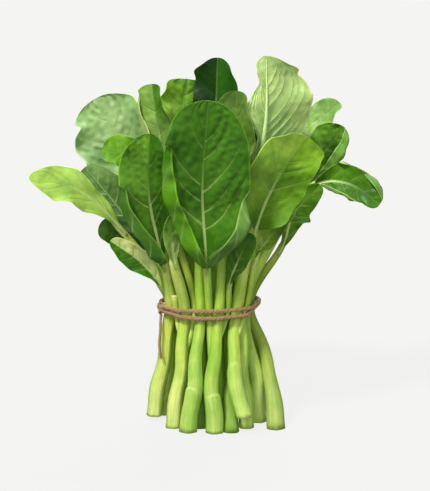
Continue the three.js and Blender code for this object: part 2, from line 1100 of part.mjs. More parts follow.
const reach = TWINE_R + TWINE_GAP;
const upperTurnZ = (out) => UPPER_TURN_Z + TURN_TILT * out.x - UPPER_TURN_RISE * out.y;
const lowerTurnZ = (out) => LOWER_TURN_Z + TURN_TILT * out.x + LOWER_TURN_SAG * out.y;
const loops = [
  closedTube(tautRound(heldStalks, reach, upperTurnZ), TWINE_R),
  closedTube(tautRound(heldStalks, reach, lowerTurnZ), TWINE_R),
  closedTube(knotLoop(), KNOT_R),
];
const wrap = loops.map(toSolid).reduce((joined, piece) => joined.add(piece));
bunch.add(makeMesh('twine_wrap', geometryOfSolid(wrap), TWINE_COLOUR, 0.9));

const tail = new THREE.ExtrudeGeometry(new THREE.Shape().absarc(0, 0, TAIL_R, 0, 2 * Math.PI), {
  steps: TAIL_STEPS,
  curveSegments: TAIL_SIDES / 2,
  extrudePath: new THREE.CatmullRomCurve3(TAIL_ROUTE.map((place) => new THREE.Vector3(...place))),
});
bunch.add(makeMesh('twine_tail', tail, TWINE_COLOUR, 0.9));

export default bunch;
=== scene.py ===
"""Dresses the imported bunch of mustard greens: leaves, stalks, twine, materials, light and camera."""

import math

import bpy
import numpy as np
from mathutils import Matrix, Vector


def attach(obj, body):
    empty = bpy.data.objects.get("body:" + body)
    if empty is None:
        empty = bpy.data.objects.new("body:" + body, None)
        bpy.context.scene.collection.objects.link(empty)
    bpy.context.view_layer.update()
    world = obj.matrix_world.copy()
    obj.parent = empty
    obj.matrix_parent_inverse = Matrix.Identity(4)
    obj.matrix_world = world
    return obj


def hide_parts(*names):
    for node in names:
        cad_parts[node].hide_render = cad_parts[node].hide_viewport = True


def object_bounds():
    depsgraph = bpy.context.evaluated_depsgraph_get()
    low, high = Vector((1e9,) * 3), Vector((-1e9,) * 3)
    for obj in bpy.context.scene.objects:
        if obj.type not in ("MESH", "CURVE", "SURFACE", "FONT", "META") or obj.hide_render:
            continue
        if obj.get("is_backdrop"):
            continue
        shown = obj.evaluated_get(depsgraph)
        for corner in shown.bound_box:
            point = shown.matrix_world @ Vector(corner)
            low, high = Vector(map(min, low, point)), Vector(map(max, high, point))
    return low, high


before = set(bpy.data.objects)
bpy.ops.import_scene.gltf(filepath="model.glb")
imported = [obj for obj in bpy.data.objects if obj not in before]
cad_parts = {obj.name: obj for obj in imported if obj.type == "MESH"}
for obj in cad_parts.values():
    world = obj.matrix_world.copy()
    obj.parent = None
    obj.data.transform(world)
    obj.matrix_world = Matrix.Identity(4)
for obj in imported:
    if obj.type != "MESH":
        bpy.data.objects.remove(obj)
cad_low, cad_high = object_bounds()
MM = 0.001  # metres in a millimetre, the unit of every size below

# Camera: it stands in front of the bunch and looks slightly down, as in the photograph
CAMERA_TARGET = (3, 0, 133)
CAMERA_DISTANCE = 1400
CAMERA_ELEVATION = 12
CAMERA_SENSOR = 36
CAMERA_REACH = 20  # metres
PHOTO_HEIGHT = 491  # pixels
FOCAL_PIXELS = 1867

# Light: the sky's strength at the horizon and overhead, and the lamps by compass direction (0 is the front
# and 90 the right), height in degrees, how wide they are and how strong
SKY_LOW = 0.3
SKY_HIGH = 0.75
SKY_RISE = (-0.1, 0.9)
FLOOR_GLOW = 0.82
FLOOR_HALF = 9  # metres
LAMPS = (
    ("key", -38, 50, 12, 3.5),
    ("front", 14, 22, 50, 1.0),
    ("back", 170, 45, 50, 2.0),
)

# Driving sizes of the bunch, as in its solids
TIE_Z = 87
TIE_SLACK = 0.5
PRESSES = 300  # rounds of pressing the stalks apart
HALVINGS = 40  # steps of the search for a height on a line
STALK_FLAT = 0.9
HELD_REACH = 8

# Twine, its run as in its solids
TWINE_R = 1.7
TWINE_GAP = 0.5
UPPER_TURN_Z = 89.3
UPPER_TURN_RISE = 0.8
LOWER_TURN_Z = 88
LOWER_TURN_SAG = 3.2
TURN_TILT = 0.8
KNOT_PLACE = (-37.6, -9.5, 87.2)
KNOT_OUTWARD = (-0.96, -0.28, 0)
KNOT_SIDEWAYS = (0.28, -0.96, 0)
KNOT_SIZE = 1.3
KNOT_R = 1.1
KNOT_END_R = 1.045
POINT_GAP = 0.55  # between the points of a turn
KNOT_POINT_GAP = 0.45
PLIES = 3
PLY_SIDES = 8
TURN_PITCH, KNOT_PITCH, TAIL_PITCH = 8.5, 6, 7
PLY_OFF, PLY_R = 0.47, 0.54  # a ply's distance from the middle and its radius, of the twine's radius
PLY_APART = 37  # between the plies' places in their pattern
TURN_FIBRES, KNOT_FIBRES = (170, 1.5, 5), (40, 2, 5)  # number, shortest and longest
TAIL_FIBRES, FRAY_FIBRES = (50, 1.5, 4), (26, 2, 6)
FRAY_POINTS = 12
FRAY_SPREAD = 0.4
TAIL_R = 1.1
TAIL_ROUTE = [
    (-37.6, -10.4, 81.6),
    (-37.8, -13, 77),
    (-38, -15.4, 70.5),
    (-38.6, -16.2, 63),
    (-38.4, -16.6, 56),
    (-37.4, -17, 50),
]

# Seeds: every leaf has its own, and its stalk and the stalk's shade theirs beside it
SEEDS_PER_STEM = 100
STALK_SEED = 500
SHADE_SEED = 9
PHASES = 6  # radians, the span of random phases

# Blades: sizes in millimetres, places as shares of the length (from foot to tip) or of the half width
BLADE_THICK = 0.55  # at the midrib, thinning towards the edge
EDGE_THICK = 0.25
RIB_SUNK = 0.72  # how far the midrib lies in the blade, 1 is flush with its upper side
RIB_TIP_SUNK = 1.15
RIB_TIP_R = 0.3
RIB_LENGTH = 0.96
RIB_TAPER = 0.48
FOOT_WIDE = 0.75  # half width of the foot beside the midrib's radius
LEAST_HALF = 0.05
FOLD_REACH = 0.07  # how sharply a margin folds over, as a share of the half blade
FOLD_MOST = 170  # degrees from the midrib's upper side to a folded margin
FOLD_RUN = 0.05  # length over which a folded margin begins and ends
BLADE_STEP = 1.3  # distance between the rows of a blade
BLADE_MOST_ROWS = 96
BLADE_MOST_COLUMNS = 30  # on each side of the midrib
SPARE_COLUMNS = 5
ROW_CROWDING = 1.5  # how much closer the rows are at the tip
COLUMN_CROWDING = 0.95
HEEL = 0.07  # how far a blade goes on below its foot, beside the stalk
HEEL_ROWS = 5
HEEL_NARROWING = 0.3
EDGE_RIPPLES = ((0.014, 11), (0.012, 27))  # height and rate
LOPSIDED_RUN = (0.3, 0.8)  # where a half goes over from its share to its tip share
TIP_ZONE = (0.84, 0.93)  # where side veins and bulges fade out
WAVE_COUNT = 6  # waves that cross in a random surface
WAVE_SPREAD = (0.75, 1.3)
WAVE_SUM = 2.4
RUFFLE_LENGTH = 13
LUMP_LENGTH = 26
DRAWN_LENGTH = 8
WRINKLE_LENGTH = 6
SWELL_LENGTH = 38
SWELL = 0.9
QUILT = 0.85
VEIN_CURVE = 1.3
VEIN_UNEVEN = 0.22
VEIN_UNEVEN_RATE = 2.3
VEIN_RIDGE = 0.4  # height of a side vein on the lower side
VEIN_WIDE = 0.7
FILLET = 0.25  # rise of the blade against the midrib, and its width, both in midrib radii
FILLET_WIDE = 1.2
RIB_FADED = 0.92  # how much of its pale colour the midrib loses towards the tip

# Stalks
STALK_SIDES = 24
STALK_ROWS = 60
RIB_ROWS = 45
RIB_END = 0.97
STALK_SWAY = 1.3  # how far a stalk bends to and fro below the twine
SWAY_WAVES = 1.6
FORK_THIN = 0.9  # a side stalk's radius at its fork beside that at the tie
WOBBLE = 0.07
WOBBLE_RATES = (9, 23, 41)
INNER_THICKER = 0.15
RIDGES = ((0.045, 5), (0.03, 9))  # height and number
GROOVE = 0.24
GROOVE_WIDE = 0.5  # radians
FOOT_FLARE = (0.02, 0.12)
FLARE_HEIGHT = 9
STEP_ROWS = np.linspace(-6, 6, 17)  # extra rows around a step in the skin
STEP_SLANT = 4.5
STEP_TURN = 0.9  # radians to either side of the front
SHEATH_THICK = 0.16
SHEATH_HEIGHT = 16
SCAR_WIDE = 1.3
LEAST_BLADE_PART = 0.01
CUT_LEVELS = (0.93, 0.6, 0.25, 0)  # rings of a cut end, from its rim to its middle
HIDDEN_LEVELS = (0.5, 0)

# Fibres that stand off the twine
FIBRE_STEPS = 5
FIBRE_THICK = 0.075
FIBRE_TAPER = 0.85
FIBRE_BEND = 0.35
FIBRE_RISE = 0.45
FIBRE_ROOT = 0.8  # of the tail's radius


def stem(name, foot, foot_r, tie, tie_r, leaves, bend=None):
    sizes = {"foot": foot, "foot_r": foot_r, "tie": tie, "tie_r": tie_r}
    return {"name": name, **sizes, "leaves": leaves, "bend": bend}


def leaf(name, base=None, mid=None, tip=None, width=None, **given):
    plain = {
        "name": name, "base": base, "mid": mid, "tip": tip, "width": width, "neck": 3, "face": 0, "lift": 0,
        "belly": 0.58, "taper": 0.85, "tip_bend": 2.3, "share": (1, 1), "tip_share": None, "fold": 40,
        "cup": (14, 14), "roll": (0, 0), "wave": 1.8, "waves": 2.5, "fork": None, "tie": None, "tie_r": None,
        "via": None, "top": None,
    }
    return plain | given


# Every stem with its leaves, as in the solids. A stem has its name, where it is cut and its radius there,
# and where the twine holds it and its radius there. A leaf has its name, the base, middle and tip that its
# blade runs through, and its width. face is the compass direction of a blade's upper side.
STEMS = [
    stem("stem_left_front", (-43, -8, 3), 6, (-29.5, -9), 4.8, bend=(-36, -9, 49), leaves=[
        leaf("leaf_left_front", (-34, -24, 125), (-44, -43, 177), (-43, -57, 226.5), 44, face=-16,
             cup=(34, 16), roll=(50, 0), neck=3.4, taper=1.1, share=(1, 0.8)),
        leaf("leaf_low_left", (-38.8, -10.4, 106), (-53, -19, 125), (-74, -26, 142), 17, fork=53,
             tie=(-31.6, -1.2), tie_r=2.6, face=4, lift=20, cup=(24, 20), neck=2.3, waves=1.5),
    ]),
    stem("stem_left", (-36, 5, 0), 5.4, (-31, 7.2), 3.6, leaves=[
        leaf("leaf_far_left", (-69, -13, 150), (-98, -27, 180), (-132, -36, 191), 30, face=0, lift=36,
             fold=24, cup=(22, 16), neck=2.6, taper=1.2, tip_bend=1.7),
    ]),
    stem("stem_front_left", (-28, -28, 0), 5.8, (-19, -21), 4.6, bend=(-22.5, -27, 51), leaves=[
        leaf("leaf_front_narrow", (-27.5, -37, 129), (-28.5, -45, 148), (-27.5, -50, 167), 13, face=14,
             neck=3.4, wave=1, waves=1.5),
        leaf("leaf_top_left_folded", (-33, -25, 181), (-37, -25, 221), (-42, -26, 258), 30, fork=49,
             tie=(-12.5, -19), tie_r=2.8, via=(-25, -24, 143), face=-30, cup=(10, 46), neck=2.4,
             tip_bend=3),
        leaf("cut_stub", fork=63, tie=(-25.5, -17), tie_r=2.6, top=(-27, -19, 99)),
    ]),
    stem("stem_front_middle_left", (-17, -38.5, 0), 6.2, (-8, -26), 4, bend=(-10.5, -34, 54), leaves=[
        leaf("leaf_top_dark", (0, -18, 196), (4, -9, 236), (5, -4, 274.5), 36, via=(-8, -27, 141), face=-24,
             fold=50, cup=(26, 26), tip_bend=2.2),
    ]),
    stem("stem_front_middle", (3, -41, 0), 6, (6, -26), 4.1, bend=(1.5, -37, 48), leaves=[
        leaf("leaf_front_olive", (10, -28, 161), (16, -31, 206), (19, -27, 253), 40, face=-6, cup=(20, 20),
             neck=3, share=(1, 0.6), tip_share=(1, 0.8)),
        leaf("leaf_front_large", (-3, -36, 125), (-6, -54, 185), (-1.5, -68, 251.5), 65, fork=33,
             tie=(-1, -27.6), tie_r=2.6, face=0, cup=(16, 12), roll=(60, 20), neck=2.7, belly=0.55,
             taper=0.75, share=(0.98, 1.05), waves=2),
        leaf("leaf_front_small", (14, -31, 111), (21, -38, 132), (30, -43, 151), 16, fork=61,
             tie=(12.3, -23.6), tie_r=2.3, face=-12, neck=2, wave=1, waves=1.5),
    ]),
    stem("stem_front_right", (24.5, -46, 13), 5.6, (19, -20.5), 4.4, bend=(16.5, -33, 53), leaves=[
        leaf("leaf_right_front", (32, -28, 153), (47, -39, 189), (69, -42, 222), 51, face=22, cup=(4, 20),
             neck=3.4, taper=0.65),
        leaf("leaf_right_folded", (34, -17, 127), (43, -18, 142), (61, -17, 164), 15, fork=63,
             tie=(25, -17.3), tie_r=2.2, face=-30, fold=60, cup=(30, 30), neck=1.9, wave=1, waves=1.5),
    ]),
    stem("stem_right_front", (26.5, -29, 0), 5.4, (24.5, -13.5), 4.1, bend=(24, -22, 51), leaves=[
        leaf("leaf_right_drooping", (78, 7, 178), (103, -1, 180), (125, -10, 166), 28, via=(37, -8, 121),
             face=0, lift=8, cup=(20, 26), belly=0.5, tip_bend=2.5, share=(1.1, 0.75)),
    ]),
    stem("stem_right_middle", (36, -14, 0), 5.8, (22, -4), 4.8, bend=(31.3, -9, 47), leaves=[
        leaf("leaf_top_right_pale", (34, -20, 191), (40, -26, 233), (40, -25, 278), 54,
             via=(27.5, -11, 143), face=198, fold=28, cup=(14, 14), neck=3.6, share=(1.35, 0.8),
             tip_share=(1.35, 0.35), waves=3),
        leaf("leaf_right_curled", (68, 26, 176), (85, 23, 199), (100, 18, 220), 34, fork=23, tie=(26, -9),
             tie_r=2.3, via=(37, 3, 119), face=-34, cup=(40, 50), neck=2.2),
    ]),
    stem("stem_right", (48.5, -31, 0), 6.2, (29.2, 5), 3.4, bend=(43.3, -6, 43), leaves=[
        leaf("leaf_right_low", (53, -2, 133), (61, -6, 158), (81, -9, 181), 20, face=16, lift=20,
             cup=(20, 10), neck=2.6),
    ]),
    stem("stem_left_back", (-41, 19, 0), 5.6, (-26.8, 14.4), 4.2, leaves=[
        leaf("leaf_left_grey", (-46, 0, 130), (-69, -5, 163), (-93, -9, 194), 30, face=172, cup=(20, 20),
             neck=2.6),
        leaf("leaf_left_small", (-47, 10, 116), (-67, 11, 140), (-85, 9, 144), 22, fork=113, lift=20,
             cup=(10, 40), neck=1.8, wave=1.2, waves=1.5),
    ]),
    stem("stem_left_middle", (-23, 3, 0), 5.6, (-21, 4), 4.8, leaves=[
        leaf("leaf_left_round", (-50, 9, 179), (-66.5, 8, 210), (-85, 10, 243), 63, face=-20, lift=10,
             fold=18, cup=(24, 26), wave=2.4, waves=3),
    ]),
    stem("stem_left_inner", (-22, -13, 0), 5.6, (-20.5, -7), 4.4, leaves=[
        leaf("leaf_left_bright", (-42, -15.5, 185), (-60, -21, 204), (-79, -23, 211), 27,
             via=(-32, -14, 143), face=-4, lift=32, cup=(20, 24), neck=2.4, waves=2),
    ]),
    stem("stem_inner_left_front", (-7.5, -29, 0), 5.6, (-10, -11), 4.4, leaves=[
        leaf("leaf_top_crinkled", (-22, -3, 197), (-21.5, 3, 233), (-18, 4, 258), 42, via=(-20, -15, 144),
             face=26, cup=(24, 20), tip_bend=3, wave=3, waves=3),
    ]),
    stem("stem_right_back", (43, 14, 0), 5.6, (23.8, 12.4), 4.4, bend=(34.5, 14, 54), leaves=[
        leaf("leaf_right_grey", (64, 37, 189), (80, 43, 216), (98, 44, 235), 28, face=-44, cup=(20, 50)),
    ]),
    stem("stem_inner_front", (7, -21, 0), 5.6, (1, -14), 4.6, leaves=[
        leaf("leaf_inner_front", (6, -6, 168), (8, 3, 206), (6, 8, 243), 36, face=40, cup=(24, 20)),
    ]),
    stem("stem_inner_right_front", (14.5, -39, 0), 5.8, (12.5, -7), 4.4, bend=(14, -22, 49), leaves=[
        leaf("leaf_inner_right", (19, 13, 148), (42, 15, 210), (56, 22, 246), 42, face=-24, cup=(24, 20)),
    ]),
    stem("stem_centre", (0, 0, 0), 5.8, (0, 0), 4.8, leaves=[
        leaf("leaf_centre", (-4, 14, 168), (-8, 26, 208), (-12, 32, 241), 40, face=-34, cup=(24, 20)),
    ]),
    stem("stem_inner_left", (-11.5, 13.5, 0), 5.6, (-11, 4.5), 4.6, leaves=[
        leaf("leaf_inner_left", (-28, 19, 137), (-50, 30, 199), (-70, 35, 229), 42, via=(-19.5, 12, 118),
             face=26, cup=(8, 24)),
    ]),
    stem("stem_inner_right", (24, 12, 0), 5.6, (12, 6.5), 4.6, leaves=[
        leaf("leaf_inner_back_right", (24, 26, 159), (36, 38, 195), (47, 46, 223), 42, face=-40,
             cup=(20, 24)),
    ]),
    stem("stem_inner_back", (6, 20, 0), 5.6, (0, 13.5), 4.6, leaves=[
        leaf("leaf_inner_back", (0, 24, 122), (-4, 48, 191), (-8, 58, 225), 40, face=160, cup=(24, 24)),
    ]),
    stem("stem_back_left", (-27, 31, 0), 5.8, (-21, 19), 4.5, leaves=[
        leaf("leaf_back_left", (-48, 34, 143), (-72, 44, 175), (-97, 50, 197), 48, face=60, lift=30,
             cup=(24, 24)),
    ]),
    stem("stem_back_middle_left", (-10, 36, 0), 5.8, (-8, 24.5), 4.6, leaves=[
        leaf("leaf_back_middle_left", (-20, 50, 135), (-26, 72, 169), (-33, 90, 189), 54, face=10, lift=30,
             cup=(26, 24)),
    ]),
    stem("stem_back_middle_right", (13, 37, 0), 5.8, (5.5, 25.5), 4.6, leaves=[
        leaf("leaf_back_middle_right", (18, 52, 133), (28, 76, 167), (40, 94, 183), 52, face=190, lift=20,
             cup=(26, 20)),
    ]),
    stem("stem_back_right", (31, 30, 0), 5.8, (18, 20.5), 4.5, leaves=[
        leaf("leaf_back_right", (53, 40, 145), (76, 46, 177), (99, 50, 199), 46, face=-62, lift=30,
             cup=(24, 26)),
    ]),
]

# Colours
DARK = (0.042, 0.15, 0.008)
DEEP = (0.018, 0.085, 0.004)
MID = (0.1, 0.27, 0.014)
BRIGHT = (0.28, 0.48, 0.085)
SILVER = (0.27, 0.46, 0.19)
UNDER = (0.21, 0.39, 0.07)
VEIN = (0.46, 0.6, 0.2)
VEIN_UPPER = (0.3, 0.47, 0.1)
VEIN_LOWER = (0.5, 0.66, 0.27)
STALK_FOOT = (0.52, 0.66, 0.19)
STALK_MIDDLE = (0.44, 0.59, 0.085)
# The neck's pale colour is partly its own and partly painted light, made lighter against the shade the
# leaves cast on it
STALK_NECK = (0.66, 0.8, 0.22)
SCAR_DARK, SCAR_PALE = (0.3, 0.4, 0.06), (0.66, 0.72, 0.3)
PITH_DARK, PITH_PALE = (0.5, 0.62, 0.22), (0.78, 0.84, 0.5)
TWINE_DARK = (0.13, 0.06, 0.015)
TWINE_LIGHT = (0.56, 0.34, 0.12)
TWINE_PATCH = (0.36, 0.22, 0.1)
FLOOR_DARK, FLOOR_PALE = (0.04, 0.04, 0.039), (0.045, 0.045, 0.044)
FLOOR_WHITE = (1, 1, 0.985, 1)
SKY_WHITE = (1, 1, 0.99)

# Tints: what red, green and blue are multiplied by
PATCH_DARKER = (0.66, 0.72, 0.6)
PATCH_LIGHTER = (1.45, 1.24, 1.25)
MOTTLED = (0.68, 0.76, 0.6)
# painted shade: darkens the hollows between a leaf's bulges
PAINTED_HOLLOW_SHADE = (0.5, 0.6, 0.35)
FINE_VEINS = (1.6, 1.35, 1.6)
PORES = (0.6, 0.7, 0.5)
PALE_EDGE = (2.6, 2.0, 2.6)
GREENER = (0.5, 0.74, 0.3)
PALE_STALK = (1.3, 1.12, 1.2)
PALE_LINES = (1.3, 1.15, 1.35)
# painted shade: dims the stalks whose tone is negative
PAINTED_SHADE_TINT = (0.72, 0.68, 0.6)
RIB_END_TINT = (1.5, 1.35, 1.6)

# How deep the fine relief of the materials is, in metres
LEAF_BUMP, STALK_BUMP, TWINE_BUMP, FLOOR_BUMP = 0.0003, 0.0006, 0.0007, 0.0001


def turned(hand, low, high, start, end, angle=155, tint=None):
    """A margin of one half that is folded over the blade between two shares of its length. start and end are
    how wide it is there, as a share of the half it lies on."""
    return {"hand": hand, "low": low, "high": high, "start": start, "end": end, "angle": angle, "tint": tint}


def look(upper, halves=None, foot=None, **given):
    """How one leaf looks. upper and under are its colours, halves the upper colours left and right of the
    midrib where they differ, and foot the colour near the stalk. quilt is how far the blade bulges between
    its veins, pucker how far it wrinkles there and ruffle how high the fine waves of its edge are. veins is
    the number of side veins, vein how plain they are and slant how steeply they climb. A lobe lets one
    half's edge swell around a share of the length: its hand, place, reach and growth."""
    halves = halves or (upper, upper)
    plain = {
        "halves": halves, "foot": (foot, foot) if foot else halves, "under": UNDER, "quilt": 1.0,
        "pucker": 0.5, "ruffle": 0.7, "veins": 6, "vein": 0.5, "slant": 0.9, "turns": (), "lobes": (),
    }
    return plain | given


LOOKS = {
    # The greyer tint of the right fold is partly its underside and partly painted sheen where light grazes
    # it
    "leaf_front_large": look(
        (0.05, 0.17, 0.01), foot=(0.06, 0.2, 0.01), under=(0.085, 0.27, 0.006), quilt=1.3, pucker=0.9,
        veins=7, vein=0.6, slant=1.5,
        turns=[turned(0, 0.0, 0.78, 0.75, 0.2), turned(1, -0.1, 0.55, 0.9, 0.0, tint=(0.11, 0.25, 0.045))],
        lobes=[(0, 0.36, 0.16, -0.19), (1, 0.24, 0.13, 0.3)],
    ),
    # The lighter left half is partly the leaf's own colour and partly painted sheen
    "leaf_left_front": look(
        MID, halves=((0.11, 0.29, 0.022), (0.036, 0.135, 0.004)), foot=(0.032, 0.12, 0.006),
        under=(0.08, 0.23, 0.02), quilt=0.8, pucker=0.7, veins=5, vein=0.6, slant=1.5,
        turns=[turned(0, 0.0, 0.63, 1.5, 0.1, 145)], lobes=[(0, 0.3, 0.2, 0.1), (0, 0.08, 0.08, 0.65)],
    ),
    # Painted light: the left half is lighter to make up for the light its cup turns away
    "leaf_right_front": look(
        MID, halves=((0.25, 0.46, 0.055), (0.15, 0.34, 0.018)), foot=(0.085, 0.23, 0.012), quilt=0.5,
        pucker=0.35, veins=6, vein=0.35,
        lobes=[(1, 0.95, 0.04, 0.25), (1, 0.66, 0.16, -0.12), (0, 0.9, 0.06, -0.1), (1, 0.12, 0.1, 0.4)],
    ),
    "leaf_top_right_pale": look(
        MID, under=(0.38, 0.57, 0.2), quilt=1.0, pucker=0.4, veins=9, vein=1.0, slant=1.9,
        lobes=[(0, 1.0, 0.06, -0.45), (0, 0.93, 0.03, -0.14), (0, 0.84, 0.03, -0.1), (1, 0.79, 0.06, -0.4),
               (1, 0.95, 0.04, 0.3), (1, 0.3, 0.12, -0.8), (1, 0.57, 0.07, 0.2)],
    ),
    "leaf_left_round": look(
        SILVER, quilt=0.5, pucker=0.8, veins=5, vein=0.6,
        lobes=[(0, 0.82, 0.04, -0.2), (0, 0.66, 0.1, 0.06)],
    ),
    "leaf_far_left": look(
        BRIGHT, quilt=0.7, pucker=0.3, veins=6, vein=0.9, slant=2, lobes=[(1, 0.36, 0.14, -0.35)],
    ),
    "leaf_left_grey": look(MID, under=(0.15, 0.3, 0.08), quilt=0.6, vein=0.7),
    "leaf_left_bright": look((0.12, 0.31, 0.01), quilt=0.6, veins=5),
    "leaf_left_small": look((0.06, 0.19, 0.01), quilt=0.6, veins=5),
    # Painted light and shade: one half is pale where it faces the light, the other dark where it hangs in
    # shade
    "leaf_low_left": look(
        MID, halves=((0.05, 0.19, 0.006), (0.5, 0.62, 0.24)), quilt=0.4, ruffle=0.4, veins=6,
    ),
    "leaf_front_narrow": look((0.12, 0.3, 0.03), foot=(0.3, 0.46, 0.12), quilt=0.3, veins=4),
    "leaf_top_left_folded": look(
        MID, halves=((0.19, 0.37, 0.07), (0.06, 0.19, 0.01)), foot=(0.4, 0.56, 0.2), quilt=0.6,
        turns=[turned(0, 0.0, 0.95, 1.5, 0.0, 150, tint=(0.34, 0.48, 0.17))], lobes=[(0, 0.96, 0.04, 0.15)],
    ),
    "leaf_top_crinkled": look((0.16, 0.36, 0.03), foot=(0.3, 0.5, 0.13), quilt=1.6, ruffle=1.2),
    # Painted shadow: the near-black halves and foot stand for the shadow the leaves around cast on it
    "leaf_top_dark": look(
        DEEP, halves=((0.006, 0.04, 0.001), (0.02, 0.1, 0.003)), foot=(0.004, 0.014, 0.001), quilt=0.4,
        pucker=0.15, vein=0.05, lobes=[(0, 0.88, 0.05, 0.25)],
    ),
    "leaf_front_olive": look((0.085, 0.175, 0.022), quilt=0.8, vein=0.35, lobes=[(1, 0.86, 0.1, -0.3)]),
    "leaf_front_small": look(DARK, quilt=0.5, veins=5, vein=0.35),
    "leaf_right_folded": look((0.2, 0.36, 0.05), quilt=0.4, veins=4),
    "leaf_right_grey": look((0.25, 0.43, 0.11), quilt=1.0, veins=5),
    "leaf_right_curled": look(
        (0.095, 0.25, 0.02), under=(0.17, 0.36, 0.06), quilt=1.0, pucker=1.0, ruffle=2.2,
        turns=[turned(1, 0.35, 1.1, 0.4, 0.5, 130)],
    ),
    "leaf_right_drooping": look(
        MID, halves=((0.058, 0.185, 0.006), (0.05, 0.17, 0.006)), quilt=0.6, vein=0.15,
        turns=[turned(0, 0.3, 1.3, 0.0, 0.7, 150, tint=(0.16, 0.32, 0.08)),
               turned(1, -0.1, 0.85, 0.6, 0.0, 150, tint=(0.24, 0.4, 0.1))],
        lobes=[(0, 1.0, 0.04, 0.3), (0, 0.75, 0.12, -0.15)],
    ),
    "leaf_right_low": look((0.06, 0.18, 0.008), quilt=0.7, veins=6, lobes=[(1, 0.55, 0.05, 0.4)]),
}
INNER_TINTS = (DARK, MID, (0.07, 0.2, 0.012))

# How pale each stalk in front is, 0 green and 1 pale; a negative value is as pale as its positive one, but
# dimmed as painted shade. The values are partly each stalk's own tone and partly painted light and shade:
# stem_left and stem_front_left are paler to make up for the shade that falls on them, and stem_right is
# dimmed against the direct light on it. The stalks inside share one low value, painted shade for the gaps
# between the stalks, and those at the back share another.
STALK_TONES_AND_PAINTED_LIGHT = {
    "stem_left_front": 0.65, "stem_left": 0.8, "stem_front_left": 0.8, "stem_front_middle_left": 0.45,
    "stem_front_middle": 0.35, "stem_front_right": 0.55, "stem_right_front": 0.35,
    "stem_right_middle": 0.4, "stem_right": -0.45,
}
# Painted shade: the stalks inside are darker green, as the gaps between the stalks lie in shade
INNER_PAINTED_SHADE = 0.05
BACK_SHADE = 0.4
SHADE_SPREAD = 0.15

# The height of the step in a stalk's skin, where it has one
STALK_STEPS = {
    "stem_front_middle_left": 29, "stem_front_middle": 25, "stem_front_right": 46, "stem_right_middle": 31,
    "stem_left_back": 40, "stem_back_left": 52, "stem_back_right": 34, "stem_back_middle_right": 43,
}


def put(name, data):
    """A new object in the scene."""
    thing = bpy.data.objects.new(name, data)
    bpy.context.scene.collection.objects.link(thing)
    return thing


# The camera

elevation = math.radians(CAMERA_ELEVATION)
camera = put("camera", bpy.data.cameras.new("camera"))
bpy.context.scene.camera = camera
camera.data.sensor_width = CAMERA_SENSOR
camera.data.lens = CAMERA_SENSOR * FOCAL_PIXELS / PHOTO_HEIGHT
camera.data.clip_end = CAMERA_REACH
camera.rotation_euler = (math.pi / 2 - elevation, 0, 0)
camera.location = (
    CAMERA_TARGET[0] * MM,
    (CAMERA_TARGET[1] - CAMERA_DISTANCE * math.cos(elevation)) * MM,
    (CAMERA_TARGET[2] + CAMERA_DISTANCE * math.sin(elevation)) * MM,
)


# Lines and frames


def unit(vectors):
    return vectors / np.linalg.norm(vectors, axis=-1, keepdims=True)


def gaps(path):
    return np.linalg.norm(np.diff(path, axis=0), axis=1)


def walked(path):
    """How far along a path each of its points is."""
    return np.concatenate([[0], np.cumsum(gaps(path))])


def ease(low, high, value):
    """Rises from 0 to 1 between low and high, with a soft start and end."""
    share = np.clip((value - low) / (high - low), 0, 1)
    return share * share * (3 - 2 * share)


def within(rise, fall, value):
    """1 between the rise and the fall, and 0 outside them."""
    return ease(*rise, value) * (1 - ease(*fall, value))


def bell(value, width):
    """1 where value is 0, falling off within about the width."""
    return np.exp(-((value / width) ** 2))


def mix(start, end, share):
    return start + (end - start) * share


class Spline:
    """A smooth line through points that turns gently where they are unevenly spaced."""

    def __init__(self, points):
        points = np.array(points, float)
        self.count = len(points) - 1
        points = np.vstack([2 * points[0] - points[1], points, 2 * points[-1] - points[-2]])
        self.terms = []
        for a, b, c, d in zip(points, points[1:], points[2:], points[3:]):
            before, here, after = (np.linalg.norm(q - p) ** 0.5 for p, q in ((a, b), (b, c), (c, d)))
            leave = ((b - a) / before - (c - a) / (before + here) + (c - b) / here) * here
            arrive = ((c - b) / here - (d - b) / (here + after) + (d - c) / after) * here
            self.terms.append((b, leave, 3 * (c - b) - 2 * leave - arrive, 2 * (b - c) + leave + arrive))
        self.terms = np.array(self.terms)

    def at(self, share):
        place = np.clip(np.asarray(share, float), 0, 1) * self.count
        part = np.minimum(place.astype(int), self.count - 1)
        rest = (place - part)[..., None]
        a, b, c, d = (self.terms[part, term] for term in range(4))
        return a + rest * (b + rest * (c + rest * d))


class Line(Spline):
    """The line that a stalk and its leaf follow, with the share of it where the tie and the blade are."""

    def __init__(self, points, tie_index, base_index, leaf):
        super().__init__(points)
        self.tie = tie_index / self.count
        self.base = base_index / self.count
        self.leaf = leaf

    def frames(self, share):
        """Points on the line with the direction of the leaf's upper side there, and across."""
        step = 0.002
        along = unit(self.at(share + step) - self.at(share - step))
        angle = np.radians(self.leaf["face"])
        lift = math.tan(math.radians(self.leaf["lift"]))
        upper = np.array([np.sin(angle), -np.cos(angle), lift])
        upper = unit(upper - along * np.sum(upper * along, -1, keepdims=True))
        return self.at(share), upper, np.cross(along, upper)

    def share_at(self, height):
        low, high = 0.0, self.base
        for _ in range(HALVINGS):
            middle = (low + high) / 2
            if self.at(middle)[2] < height:
                low = middle
            else:
                high = middle
        return (low + high) / 2

    def at_height(self, height):
        return self.at(self.share_at(height))


def press_apart(places, radii):
    """Moves discs apart until they clear each other, as stalks do that are pressed into a bundle."""
    discs = [list(place) for place in places]
    for _ in range(PRESSES):
        for first, a in enumerate(discs):
            for second in range(first + 1, len(discs)):
                b = discs[second]
                dx, dy = b[0] - a[0], b[1] - a[1]
                apart = math.hypot(dx, dy)
                needed = radii[first] + radii[second] + TIE_SLACK
                if apart < needed:
                    push = (needed - apart) / apart / 2
                    a[0] -= dx * push
                    a[1] -= dy * push
                    b[0] += dx * push
                    b[1] += dy * push
    return discs


